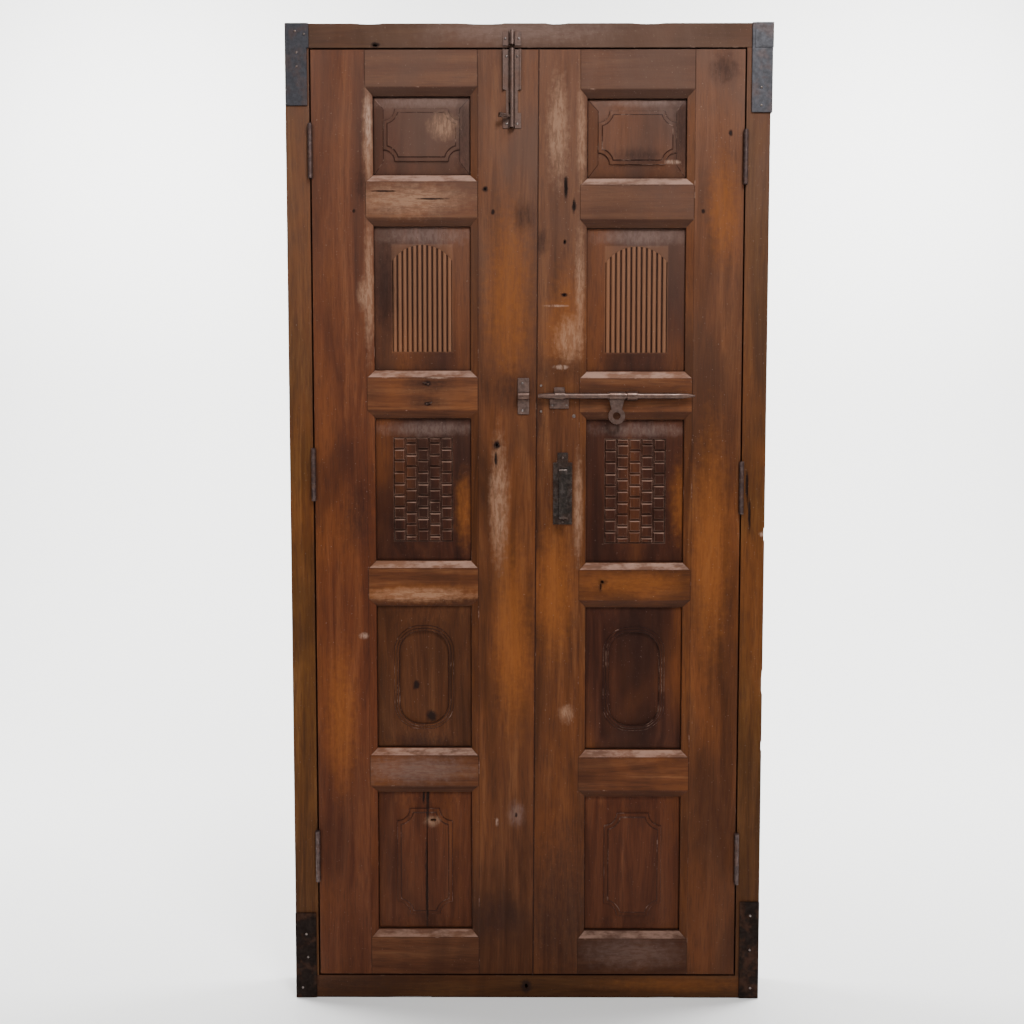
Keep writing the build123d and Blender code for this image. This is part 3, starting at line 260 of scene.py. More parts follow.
def wear_edges(piece, width, least_angle, deepest, slot=0):
    """Rounds the sharp edges that lie in front of a depth. The slot is that of their material."""
    mesh = edit(piece)
    edges = [
        edge for edge in mesh.edges
        if len(edge.link_faces) == 2
        and edge.calc_face_angle() > math.radians(least_angle)
        and edge.calc_length() > 3 * width
        and max(vertex.co.y for vertex in edge.verts) < deepest
    ]
    show(piece, edges)
    bpy.ops.mesh.bevel(
        offset=width, segments=EDGE_STEPS, affect="EDGES", clamp_overlap=True, material=slot)
    done()


def apply_modifier(piece, kind, **settings):
    """Adds a modifier to a piece and applies it."""
    pick(piece)
    bpy.ops.object.modifier_add(type=kind)
    modifier = piece.modifiers[-1]
    for name, value in settings.items():
        setattr(modifier, name, value)
    bpy.ops.object.modifier_apply(modifier=modifier.name)


def light_and_shade_slopes(piece):
    """Gives the slopes that face up the material with a painted highlight, partly wear, and the ones that
    face down the one with painted shade, partly dirt.
    """
    for face in piece.data.polygons:
        if face.normal.y > -FRONTAL:
            continue
        if face.normal.z > STEEP:
            face.material_index = LIT_AND_RUBBED
        elif face.normal.z < -STEEP:
            face.material_index = SHADED_AND_GRIMY


def finish_piece(piece, body, slot, *nodes, angle=35):
    """Smooths a piece, gives it its body and hides the CAD nodes it stands for. The slot is not used."""
    pick(piece)
    bpy.ops.object.shade_smooth_by_angle(angle=math.radians(angle))
    apply_modifier(piece, "WEIGHTED_NORMAL", keep_sharp=True, weight=80)
    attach(piece, body)
    if nodes:
        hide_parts(*nodes)


def body_of(node):
    """The body that carries a CAD node."""
    bodies = frame["record"]["behaviour"]["bodies"]
    return next(body for body, nodes in bodies.items() if node in nodes)


# Shader helpers


def new_material(name):
    """An empty node material with its shader and output."""
    material = bpy.data.materials.new(name)
    material.use_nodes = True
    material.node_tree.nodes.clear()
    shader = add(material.node_tree, "BsdfPrincipled")
    add(material.node_tree, "OutputMaterial", {"Surface": shader.outputs[0]})
    return material, material.node_tree, shader


def feed(tree, socket, value):
    """Links another node's output to a socket, or sets the socket's own value."""
    if isinstance(value, bpy.types.NodeSocket):
        tree.links.new(value, socket)
    else:
        socket.default_value = value


def add(tree, kind, sockets=None, **settings):
    """A shader node whose sockets take values or other nodes' outputs."""
    made = tree.nodes.new("ShaderNode" + kind)
    for name, value in settings.items():
        setattr(made, name, value)
    for name, value in (sockets or {}).items():
        feed(tree, made.inputs[name], value)
    return made


def grain_noise(tree, place, scale, stretch, detail, rough, warp=0.0, shift=(0, 0, 0)):
    """Noise whose features are drawn out along the axes where the stretch is small."""
    moved = add(tree, "Mapping", {"Vector": place, "Location": shift, "Scale": stretch})
    return add(tree, "TexNoise", {
        "Vector": moved.outputs[0], "Scale": scale, "Detail": detail, "Roughness": rough,
        "Distortion": warp,
    }).outputs["Fac"]


def ramp(tree, factor, stops):
    """A colour ramp through (place, colour) stops."""
    made = add(tree, "ValToRGB", {"Fac": factor})
    elements = made.color_ramp.elements
    while len(elements) < len(stops):
        elements.new(0.5)
    for element, (position, colour) in zip(elements, stops):
        element.position = position
        element.color = (*colour, 1)
    return made.outputs["Color"]


def band(tree, value, low, high, start, end):
    """A value mapped smoothly from one range to another."""
    return add(tree, "MapRange", {
        "Value": value, "From Min": low, "From Max": high, "To Min": start, "To Max": end,
    }, interpolation_type="SMOOTHSTEP").outputs[0]


def mix(tree, factor, first, second):
    """Two colours mixed by a factor. The Mix node takes them in sockets 6 and 7 and gives one in 2."""
    return add(tree, "Mix", {0: factor, 6: first, 7: second}, data_type="RGBA").outputs[2]


def reckon(tree, operation, *values):
    """One step of arithmetic on values or other nodes' outputs."""
    return add(tree, "Math", dict(enumerate(values)), operation=operation).outputs[0]


def product(tree, first, second):
    """Two values multiplied."""
    return reckon(tree, "MULTIPLY", first, second)


def spot(tree, place, centre, reach, soft):
    """A ragged patch round a place on the door's face, from 1 inside to 0 outside. Reach is (x, z)."""
    moved = add(tree, "Mapping", {
        "Vector": place, "Location": (centre[0], FACE, centre[1]), "Scale": (reach[0], 1.0, reach[1]),
    }, vector_type="TEXTURE").outputs[0]
    rag = add(tree, "TexNoise", {
        "Vector": place, "Scale": MARK_RAG_SCALE, "Detail": 5.0, "Roughness": 0.65,
    }).outputs["Color"]
    centred = add(tree, "VectorMath", {0: rag, 1: (0.5, 0.5, 0.5)}, operation="SUBTRACT").outputs[0]
    sway = add(tree, "VectorMath", {0: centred, 1: (MARK_RAG, 0, MARK_RAG)}, operation="MULTIPLY").outputs[0]
    swayed = add(tree, "VectorMath", {0: moved, 1: sway}, operation="ADD").outputs[0]
    length = add(tree, "VectorMath", {0: swayed}, operation="LENGTH").outputs["Value"]
    return band(tree, length, 1.0 - soft, 1.0 + soft, 1.0, 0.0)


# Wood


def shade(colour, light):
    """A colour made lighter or darker."""
    return tuple(min(channel * light, 1.0) for channel in colour)


def along_board(facts, stretch):
    """The stretch of a pattern that is drawn out along a board."""
    return (1.0, 1.0, stretch) if facts["upright"] else (stretch, 1.0, 1.0)


def clean_wood(tree, place, facts, figure, fibres, shift):
    """The colour of the wood: its figure, warm and dark patches, dark fibres, and a painted sheen that greys
    its top.
    """
    settings = bpy.context.scene.door_wood
    light = facts["light"]
    drift_shift = tuple(5 - step for step in shift)
    patches = grain_noise(
        tree, place, 6.0, (1.0, 1.0, 0.45), detail=4.0, rough=0.55, warp=0.6, shift=shift)
    drifts = grain_noise(
        tree, place, 4.0, (1.6, 1.0, 0.6), detail=3.0, rough=0.5, warp=0.3, shift=drift_shift)
    colour = ramp(tree, figure, [
        (0.3, shade(facts["dark"], light)),
        (0.5, shade(facts["middle"], light)),
        (0.7, shade(facts["pale"], light)),
    ])
    warmth = band(tree, drifts, 0.45, 0.68, 0.0, settings.warmth)
    colour = mix(tree, warmth, colour, (*shade(settings.warm, light), 1))
    stained = band(tree, patches, 0.47, 0.7, 0.0, 0.6)
    colour = mix(tree, stained, colour, (*shade(facts["dark"], 0.75), 1))
    pores = band(tree, fibres, 0.42, 0.72, 0.0, settings.fibre_depth)
    colour = mix(tree, pores, colour, DARK_FIBRES)
    # Painted sheen: the wood greyed and lightened toward the top, as if it reflected the light from above
    up = add(tree, "SeparateXYZ", {0: place}).outputs["Z"]
    top_sheen_mask = product(tree, band(tree, up, 1.0, DOOR_TOP, 0.0, settings.top_sheen), patches)
    return mix(tree, top_sheen_mask, colour, (*settings.grey, 1))


def finished_wood(tree, place, facts, finish, colour, shift):
    """The colour of a face by its finish: up-facing slopes and brick edges get a painted highlight, partly
    wear; eased edges are darkened, partly as painted shade, and chafed pale; down-facing slopes and breaks
    get painted shade, partly dirt. A plain face stays as it is.
    """
    settings = bpy.context.scene.door_wood
    if finish == "rubbed_and_lit":
        # Painted highlight, partly wear: up-facing slopes and brick edges lightened
        rubs = grain_noise(tree, place, 60.0, (0.35, 1, 1), detail=4.0, rough=0.65)
        rubbed_and_lit = band(tree, rubs, 0.38, 0.62, 0.25 * settings.wear_and_highlight, settings.wear_and_highlight)
        return mix(tree, rubbed_and_lit, colour, (*settings.rubbed_and_lit, 1))
    if finish == "eased":
        # Eased edges darkened, partly as painted shade of the outlines and partly grease, then chafed pale
        chafes = grain_noise(tree, place, 30.0, (1, 1, 1), detail=4.0, rough=0.7, shift=shift)
        colour = mix(tree, facts["eased"], colour, GREASE_AND_SHADE)
        chafed = band(tree, chafes, facts["chafe"], facts["chafe"] + 0.16, 0.0, 0.4)
        return mix(tree, chafed, colour, (*settings.rubbed_and_lit, 1))
    # Painted shade, partly dirt: down-facing slopes, breaks and the strip in the meeting gap
    if finish == "grimy_and_shaded":
        return mix(tree, 0.5, colour, GREASE_AND_SHADE)
    return colour


def marked_wood(tree, place, facts, colour):
    """The colour with the reeds' crests lightened, a painted highlight partly wear, the board's own marks and
    its dark joint lines.
    """
    settings = bpy.context.scene.door_wood
    axes = add(tree, "SeparateXYZ", {0: place}).outputs
    if facts["ridge"]:
        # Painted highlight, partly wear: the reeds lighter within 2.2 mm of their front
        crest_light_and_wear = band(tree, axes["Y"], facts["ridge"], facts["ridge"] + 2.2 * MM, 0.6, 0.0)
        colour = mix(tree, crest_light_and_wear, colour, (*settings.crest_light_and_wear, 1))
    scratches = grain_noise(tree, place, 190.0, along_board(facts, 0.25), detail=4.0, rough=0.7)
    front = band(tree, axes["Y"], FACE + MARKS_FADE, FACE + MARKS_END, 1.0, 0.0)
    for kind, x, z, across, up in facts["marks"]:
        tint, strength, soft, broken = MARK_KINDS[kind]
        mask = product(tree, front, spot(tree, place, (x * MM, z * MM), (across * MM, up * MM), soft))
        if broken:
            mask = product(tree, mask, band(tree, scratches, 0.4, 0.58, 1.0 - broken, 1.0))
        colour = mix(tree, product(tree, mask, strength), colour, (*tint, 1))
    for seam in facts["seams"]:
        distance = reckon(tree, "ABSOLUTE", reckon(tree, "SUBTRACT", axes["X"], seam))
        line = band(tree, distance, 0.6 * MM, settings.seam_width, 0.9, 0.0)
        colour = mix(tree, line, colour, JOINT_DIRT)
    return colour


def shaded_and_soiled_wood(tree, place, facts, colour, shift):
    """The colour with painted shade and dirt in corners and grooves, pale specks and a dark foot."""
    settings = bpy.context.scene.door_wood
    # Painted shade, partly dirt: corners and grooves darkened by ambient occlusion
    shelter = add(tree, "AmbientOcclusion", {"Distance": facts["reach"]}, samples=6).outputs["AO"]
    colour = mix(tree, band(tree, shelter, 0.25, 0.9, settings.corner_shade_and_dirt, 0.0), colour, CORNER_SHADE_AND_DIRT)
    specks = grain_noise(tree, place, 300.0, (1, 1, 1), detail=2.0, rough=0.5, shift=shift)
    colour = mix(tree, band(tree, specks, 0.7, 0.78, 0.0, 0.25), colour, PALE_SPECKS)
    up = add(tree, "SeparateXYZ", {0: place}).outputs["Z"]
    # Darker towards the bottom of the door
    return mix(tree, band(tree, up, 0.05, 0.75, settings.foot_darkening, 0.0), colour, DARKER_FOOT)


def wood_material(name, facts, finish):
    """Old oiled hardwood: figure, fibres, stains, painted shade and dirt in the hollows and the board's own
    marks.
    """
    dull = bpy.context.scene.door_wood.roughness
    figure_scale = bpy.context.scene.door_wood.figure_scale
    fibre_scale = bpy.context.scene.door_wood.fibre_scale
    material, tree, shader = new_material(name)
    place = add(tree, "TexCoord").outputs["Object"]
    grain = along_board(facts, 0.07)
    shift = tuple(facts["seed"] * step for step in (3.1, 1.7, 2.3))
    figure = grain_noise(tree, place, figure_scale, grain, detail=6.0, rough=0.62, warp=1.3, shift=shift)
    fibres = grain_noise(tree, place, fibre_scale, grain, detail=3.0, rough=0.6, shift=shift)
    colour = clean_wood(tree, place, facts, figure, fibres, shift)
    colour = finished_wood(tree, place, facts, finish, colour, shift)
    colour = marked_wood(tree, place, facts, colour)
    colour = shaded_and_soiled_wood(tree, place, facts, colour, shift)
    tree.links.new(colour, shader.inputs["Base Color"])
    rough = band(tree, figure, 0.3, 0.7, dull + 0.1, dull - 0.08)
    tree.links.new(rough, shader.inputs["Roughness"])
    shader.inputs["Specular IOR Level"].default_value = 0.12
    fine = add(tree, "Bump", {"Height": fibres, "Strength": 0.3, "Distance": 0.35 * MM}).outputs[0]
    dents = grain_noise(tree, place, 38.0, (1, 1, 0.6), detail=4.0, rough=0.6)
    worn = add(tree, "Bump", {"Height": dents, "Strength": 0.6, "Distance": 1.6 * MM, "Normal": fine})
    tree.links.new(worn.outputs[0], shader.inputs["Normal"])
    return material


# Each kind of board's colours in linear light: its dark, middle and pale figure
KINDS = {
    "jamb": ((0.042, 0.014, 0.003), (0.09, 0.032, 0.006), (0.14, 0.056, 0.014)),
    "red": ((0.04, 0.01, 0.004), (0.09, 0.023, 0.007), (0.145, 0.045, 0.015)),
    "amber": ((0.04, 0.012, 0.003), (0.088, 0.027, 0.008), (0.14, 0.05, 0.016)),
    "rail": ((0.046, 0.014, 0.005), (0.1, 0.031, 0.01), (0.16, 0.06, 0.021)),
    "panel": ((0.015, 0.004, 0.002), (0.033, 0.008, 0.003), (0.058, 0.016, 0.006)),
}
# The kind of the boards that differ from their neighbours
OTHER_KINDS = {
    "left_hinge_stile": "red", "left_panel_oval": "amber", "left_panel_tall_tablet": "red",
    "right_panel_tall_tablet": "red", "right_rail_4": "amber",
}
# How much lighter or darker some boards are than their kind
LIGHTNESS = {
    "frame_head": 0.5, "frame_sill": 0.7, "left_rail_1": 0.85, "left_rail_2": 1.1, "left_rail_5": 0.85,
    "right_rail_1": 0.6, "right_rail_2": 0.7, "right_rail_6": 0.5, "left_panel_oval": 0.7,
    "left_panel_tablet": 1.5, "right_panel_tablet": 0.9, "left_panel_reeded_arch": 1.05,
    "right_panel_reeded_arch": 1.1, "left_panel_tall_tablet": 0.85, "right_panel_tall_tablet": 0.85,
    "frame_jamb_right": 0.85, "right_meeting_stile": 0.95,
}
# What each kind of mark looks like: colour, strength, softness and how broken it is by scratches
MARK_KINDS = {
    "knot": ((0.008, 0.003, 0.002), 0.95, 0.45, 0.0),
    "dirt": ((0.014, 0.006, 0.005), 0.6, 0.8, 0.35),
    "pale": ((0.3, 0.17, 0.105), 0.6, 0.7, 0.6),
    # Grey marks on the panels' top margins are a painted sheen
    "grey": ((0.19, 0.125, 0.105), 0.42, 0.75, 0.4),
    "orange": ((0.22, 0.067, 0.011), 0.55, 0.8, 0.3),
    "scar": ((0.32, 0.205, 0.15), 0.7, 0.6, 0.8),
}
# Marks on single boards: the kind, the place across and up, and the reach across and up, in millimetres
MARKS = {
    "frame_head": [("grey", -16, 2066, 150, 22), ("knot", -317, 2036, 9, 5)],
    "frame_sill": [("knot", -2, 26, 12, 14), ("dirt", -400, 30, 110, 26), ("orange", 330, 30, 140, 14)],
    "frame_jamb_right": [("knot", 466, 1125, 3, 30), ("knot", 472, 1060, 3, 34), ("scar", 500, 1019, 6, 5)],
    "left_hinge_stile": [
        # The pale and scar marks at x -334 lie on the bevels that face right: painted highlight, partly wear
        ("pale", -334, 1850, 9, 100), ("scar", -334, 1880, 6, 50), ("pale", -334, 1540, 8, 120),
        ("dirt", -344, 1746, 14, 30), ("knot", -364, 1697, 3, 4), ("pale", -346, 1525, 10, 26),
        ("dirt", -361, 1055, 28, 60), ("scar", -350, 799, 8, 6), ("orange", -400, 620, 26, 120),
    ],
    "left_meeting_stile": [
        ("orange", -39, 1525, 40, 150), ("knot", -89, 1742, 6, 5), ("knot", -73, 1695, 4, 6),
        ("dirt", -8, 1686, 20, 26), ("pale", -60, 1090, 16, 110), ("knot", -65, 1208, 7, 9),
        ("knot", -67, 1178, 3, 14), ("dirt", -35, 1326, 44, 36), ("orange", -30, 800, 30, 160),
        ("grey", -24, 410, 15, 22), ("scar", -65, 392, 3, 8), ("dirt", -63, 179, 60, 40),
    ],
    "left_rail_2": [("pale", -246, 1720, 90, 26), ("knot", -300, 1738, 26, 2), ("knot", -200, 1722, 34, 2)],
    "left_rail_3": [
        ("dirt", -210, 1335, 46, 16), ("dirt", -213, 1297, 34, 10), ("knot", -210, 1337, 6, 6),
        ("knot", -213, 1295, 7, 4), ("scar", -190, 1350, 22, 2),
    ],
    "left_rail_4": [("orange", -228, 890, 100, 17), ("pale", -228, 888, 90, 12)],
    "left_rail_5": [("grey", -238, 507, 100, 24)],
    # Painted sheen: the grey marks on the panels' top margins, in this and the next two panels
    "left_panel_tablet": [
        # Painted shadow: the dirt mark at x -134 darkens the panel's right margin beside the stile
        ("grey", -224, 1924, 90, 12), ("pale", -175, 1870, 26, 22), ("dirt", -134, 1860, 14, 70),
    ],
    "left_panel_reeded_arch": [("grey", -219, 1649, 80, 18), ("dirt", -300, 1535, 20, 90)],
    "left_panel_bricks": [("grey", -213, 1242, 90, 12), ("orange", -135, 1070, 16, 60)],
    "left_panel_oval": [("knot", -239, 691, 7, 9), ("knot", -207, 623, 10, 12), ("dirt", -225, 560, 50, 20)],
    "left_panel_tall_tablet": [
        ("knot", -216, 420, 3, 36), ("knot", -218, 250, 3, 110), ("knot", -225, 445, 3, 16),
        ("knot", -216, 445, 3, 16), ("pale", -206, 394, 14, 10),
    ],
    "right_meeting_stile": [
        # The pale marks at x 108 to 112 lie on the bevels that face right: painted highlight, partly wear
        ("pale", 112, 1850, 8, 90), ("pale", 110, 1540, 8, 110), ("pale", 63, 1863, 18, 90),
        ("orange", 77, 1440, 30, 100), ("knot", 80, 1746, 4, 22), ("knot", 97, 1707, 4, 14),
        ("knot", 78, 1633, 3, 5), ("dirt", 26, 1633, 16, 24), ("knot", 77, 1523, 7, 4),
        ("scar", 60, 1500, 20, 2), ("pale", 87, 1427, 24, 40), ("dirt", 77, 1366, 50, 26),
        ("scar", 70, 1372, 14, 4), ("dirt", 18, 1262, 16, 44), ("dirt", 70, 200, 60, 150),
        ("pale", 84, 630, 13, 16), ("pale", 108, 1076, 8, 90), ("orange", 60, 900, 30, 120),
    ],
    "right_hinge_stile": [
        ("knot", 367, 1696, 4, 5), ("orange", 410, 1700, 26, 90), ("dirt", 409, 1988, 24, 26),
        ("knot", 423, 1856, 4, 6), ("orange", 390, 1000, 30, 200),
    ],
    "right_rail_4": [("knot", 160, 916, 9, 7), ("knot", 156, 904, 4, 10), ("orange", 230, 912, 90, 20)],
    "right_rail_6": [("grey", 227, 101, 90, 30)],
    # Painted sheen: the grey marks on the panels' top margins, in this and the next two panels
    "right_panel_tablet": [
        # Painted shadow: the dirt mark at x 322 darkens the panel's right margin beside the stile
        ("dirt", 232, 1809, 50, 14), ("dirt", 322, 1860, 14, 70), ("scar", 303, 1799, 14, 4),
        ("grey", 250, 1925, 80, 10),
    ],
    "right_panel_reeded_arch": [("grey", 240, 1645, 80, 14)],
    "right_panel_bricks": [("grey", 240, 1240, 80, 12), ("orange", 330, 1090, 20, 70)],
}
# Holes, splits and chips cut into single boards: the place, the reach across and up, and the depth, in
# millimetres
BREAKS = {
    "left_panel_tall_tablet": [(-217, 330, 1.1, 95, 16), (-218, 215, 0.9, 60, 16), (-225, 446, 1.6, 14, 14),
                               (-214, 447, 1.4, 13, 14), (-204, 396, 9, 4, 12)],
    "left_meeting_stile": [(-65, 1208, 3.5, 4.5, 9), (-67, 1180, 0.8, 16, 5), (-89, 1742, 3, 3, 5),
                           (-24, 408, 4, 6, 3)],
    "right_meeting_stile": [(80, 1746, 1.5, 20, 5), (97, 1708, 1.4, 12, 4), (78, 1633, 2.5, 3.5, 5),
                            (77, 1523, 5, 2.5, 3)],
    "right_rail_4": [(160, 916, 4.5, 4, 7), (157, 906, 1.6, 9, 5)],
    "frame_jamb_right": [(468, 1112, 0.9, 46, 7), (474, 1052, 0.8, 34, 6), (505, 1018, 5, 16, 8),
                         (505, 700, 3, 30, 8), (505, 560, 3, 12, 6)],
    "frame_head": [(-317, 2035, 7, 3, 6), (-90, 2080, 60, 3, 12), (60, 2081, 34, 4, 9),
                   (250, 2080, 46, 2.5, 12), (-330, 2080, 40, 2.5, 8)],
    "frame_sill": [(-2, 26, 5, 6, 14), (300, 0, 50, 2.5, 8), (-250, 0, 70, 2.5, 8)],
}


def board_facts(node, kind, upright):
    """What the wood material needs to know about one board."""
    dark, middle, pale = KINDS[OTHER_KINDS.get(node, kind)]
    panel = "panel" in node
    return {
        "dark": dark, "middle": middle, "pale": pale, "upright": upright,
        # A number of the board's own, so that no two boards show the same stretch of a pattern
        "seed": sum(ord(letter) for letter in node) % 89 / 7,
        "seams": seams_of(node),
        "light": LIGHTNESS.get(node, 1.0),
        "marks": MARKS.get(node, []),
        # How wide the painted shade and dirt in a corner is, how dark an eased edge is, partly painted shade
        # and partly grease, and from where it is chafed
        "reach": (4 if panel else 9) * MM,
        "eased": 0.7 if panel else 0.35,
        "chafe": 0.52 if panel else 0.58,
        # Where the reeds' crests stand
        "ridge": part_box(node)[0].y if "reeded" in node else 0.0,
    }


def seams_of(node):
    """Where a rail's shoulders meet the stiles, across the door."""
    if "_rail_" not in node:
        return ()
    leaf = node.split("_")[0]
    hinge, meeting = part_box(leaf + "_hinge_stile"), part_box(leaf + "_meeting_stile")
    inner = (hinge[1].x, meeting[0].x) if leaf == "left" else (meeting[1].x, hinge[0].x)
    return inner[0] - SHOULDER, inner[1] + SHOULDER


def dress_board(node, kind, upright, slot, width, wear):
    """One board of the door with worn edges, standing for its CAD node."""
    facts = board_facts(node, kind, upright)
    materials = [wood_material(f"{node}_{finish}", facts, finish) for finish in FINISHES]
    piece = copy_of(node, node + "_worn", materials)
    # Up-facing slopes get a painted highlight and down-facing ones painted shade
    light_and_shade_slopes(piece)
    depth, least_angle = wear
    # Brick edges get the pale finish with its painted highlight; other edges the darkened eased one, partly
    # painted shade
    edge_finish = LIT_AND_RUBBED if "bricks" in node else EASED
    wear_edges(piece, width, least_angle, FACE + depth, edge_finish)
    for lengths in BREAKS.get(node, []):
        cut_break(piece, *(length * MM for length in lengths))
    finish_piece(piece, body_of(node), slot, node, angle=25)


# Iron


def iron_material(name, tones, roughness, rust, metallic=0.85, gloss=0.5):
    """Old iron: mottled dark metal with brown rust, pits and grit."""
    material, tree, shader = new_material(name)
    place = add(tree, "TexCoord").outputs["Object"]
    mottle = grain_noise(tree, place, 120.0, (1, 1, 1), detail=5.0, rough=0.65)
    fine = grain_noise(tree, place, 900.0, (1, 1, 1), detail=3.0, rough=0.6)
    broad = grain_noise(tree, place, 35.0, (1, 1, 1), detail=3.0, rough=0.6)
    colour = ramp(tree, mottle, list(zip((0.25, 0.5, 0.8), tones)))
    colour = mix(tree, band(tree, broad, 0.45, 0.65, 0.0, rust), colour, RUST)
    tree.links.new(colour, shader.inputs["Base Color"])
    rough = band(tree, mottle, 0.3, 0.7, roughness + 0.12, roughness - 0.08)
    tree.links.new(rough, shader.inputs["Roughness"])
    shader.inputs["Metallic"].default_value = metallic
    shader.inputs["Specular IOR Level"].default_value = gloss
    pits = add(tree, "Bump", {"Height": mottle, "Strength": 0.45, "Distance": 0.5 * MM}).outputs[0]
    grit = add(tree, "Bump", {"Height": fine, "Strength": 0.3, "Distance": 0.12 * MM, "Normal": pits})
    tree.links.new(grit.outputs[0], shader.inputs["Normal"])
    return material


def tones_of(colour, darkest):
    """An iron's dark, middle and light tone from its colour. The dark one is a share of it."""
    return shade(colour, darkest), tuple(colour), shade(colour, 1.6)


def dress_iron(node, slot, iron, width=IRON_EDGE):
    """One iron piece with softened edges, standing for its CAD node."""
    piece = copy_of(node, node + "_forged", [iron])
    wear_edges(piece, width, IRON_ANGLE, math.inf)
    finish_piece(piece, body_of(node), slot, node, angle=40)


class DoorWood(bpy.types.PropertyGroup):
    figure_scale: bpy.props.FloatProperty(
        name="Figure scale", description="Bands of figure in a metre", default=26.0)
    fibre_scale: bpy.props.FloatProperty(
        name="Fibre scale", description="Fine fibres in a metre", default=330.0)
    fibre_depth: bpy.props.FloatProperty(
        name="Fibre depth", description="How dark the fibres and pores are", default=0.45, subtype="FACTOR")
    warm: bpy.props.FloatVectorProperty(
        name="Warm patches", description="Colour of the wood's warm patches", default=(0.16, 0.046, 0.01),
        subtype="COLOR")
    warmth: bpy.props.FloatProperty(
        name="Warmth", description="How strongly the warm patches show", default=0.55, subtype="FACTOR")
    # Strength and colour of the painted sheen that greys the top of the door
    top_sheen: bpy.props.FloatProperty(
        name="Greying", description="How strongly the painted sheen greys the top", default=0.9, subtype="FACTOR")
    grey: bpy.props.FloatVectorProperty(
        name="Sheen colour", description="Colour of the painted sheen on the top", default=(0.12, 0.068, 0.05),
        subtype="COLOR")
    # Colour of the painted highlight on up-facing slopes and brick edges, which is partly wear
    rubbed_and_lit: bpy.props.FloatVectorProperty(
        name="Highlight and wear colour", description="Colour of worn edges and painted highlights", default=(0.4, 0.24, 0.18),
        subtype="COLOR")
    # Colour of the painted highlight, partly wear, on the reeds' crests
    crest_light_and_wear: bpy.props.FloatVectorProperty(
        name="Crest light colour", description="Colour of the painted highlight and wear on the reeds' crests", default=(0.25, 0.115, 0.06),
        subtype="COLOR")
    # How strongly the painted highlight and wear lighten up-facing slopes and brick edges
    wear_and_highlight: bpy.props.FloatProperty(
        name="Edge wear and highlight", description="How strongly the painted highlight and wear lighten slopes and edges", default=0.6, subtype="FACTOR")
    # How much painted shade and dirt darken corners and grooves
    corner_shade_and_dirt: bpy.props.FloatProperty(
        name="Corner shade and dirt", description="How much painted shade and dirt darken corners and grooves", default=0.85, subtype="FACTOR")
    foot_darkening: bpy.props.FloatProperty(
        name="Foot darkening", description="How much darker the door's foot is", default=0.45, subtype="FACTOR")
    seam_width: bpy.props.FloatProperty(
        name="Seam width", description="Half the width of the dark joint lines", default=2.2 * MM,
        unit="LENGTH")
    roughness: bpy.props.FloatProperty(
        name="Roughness", description="Dullness of the oiled wood", default=0.6, subtype="FACTOR")
    edge_width: bpy.props.FloatProperty(
        name="Edge rounding", description="Width of the boards' worn edges", default=1.2 * MM,
        unit="LENGTH")
    # Thickness of the dark strip of painted shade in the meeting gap
    gap_shade_width: bpy.props.FloatProperty(
        name="Meeting gap shade", description="Thickness of the dark strip in the meeting gap", default=1.15 * MM,
        unit="LENGTH")


class DoorIron(bpy.types.PropertyGroup):
    blue: bpy.props.FloatVectorProperty(
        name="Upper straps", description="Colour of the upper corner straps", default=(0.03, 0.029, 0.035),
        subtype="COLOR")
    brown: bpy.props.FloatVectorProperty(
        name="Lower straps", description="Colour of the lower corner straps", default=(0.01, 0.006, 0.0045),
        subtype="COLOR")
    bolt: bpy.props.FloatVectorProperty(
        name="Bolt iron", description="Colour of the bolts", default=(0.1, 0.062, 0.05),
        subtype="COLOR")
    edge_width: bpy.props.FloatProperty(
        name="Edge rounding", description="Width of the straps' softened edges", default=0.4 * MM,
        unit="LENGTH")


class DoorStage(bpy.types.PropertyGroup):
    camera_place: bpy.props.FloatVectorProperty(
        name="Camera", description="Where the camera stands", default=(-0.025, -2.171, 1.189),
        unit="LENGTH")
    camera_pitch: bpy.props.FloatProperty(
        name="Pitch", description="The camera's tilt above the level", default=math.radians(-3.32),
        unit="ROTATION")
    camera_yaw: bpy.props.FloatProperty(
        name="Yaw", description="The camera's turn to the right", default=math.radians(-0.21),
        unit="ROTATION")
    lens: bpy.props.FloatProperty(
        name="Lens", description="Focal length on a 36 mm wide frame, in millimetres", default=35.16)
    floor: bpy.props.FloatVectorProperty(
        name="Floor", description="Colour of the floor and backdrop", default=(0.85, 0.85, 0.84),
        subtype="COLOR")


class DOOR_OT_frame(bpy.types.Operator):
    """Dresses the head, the sill and both jambs"""
    bl_idname = "door.frame"
    bl_label = "Frame"

    def execute(self, context):
        width = context.scene.door_wood.edge_width
        for node in ("frame_head", "frame_sill", "frame_jamb_left", "frame_jamb_right"):
            dress_board(node, "jamb", "jamb_" in node, "jamb_wood", width, FRAME_WEAR)
        return {"FINISHED"}


class DOOR_OT_leaves(bpy.types.Operator):
    """Dresses both leaves' stiles and rails"""
    bl_idname = "door.leaves"
    bl_label = "Stiles and rails"

    def execute(self, context):
        width = context.scene.door_wood.edge_width
        for leaf in LEAVES:
            for stile in ("hinge_stile", "meeting_stile"):
                dress_board(f"{leaf}_{stile}", "amber", True, "stile_wood", width, LEAF_WEAR)
            for number in RAILS:
                dress_board(f"{leaf}_rail_{number}", "rail", False, "rail_wood", width, LEAF_WEAR)
        return {"FINISHED"}


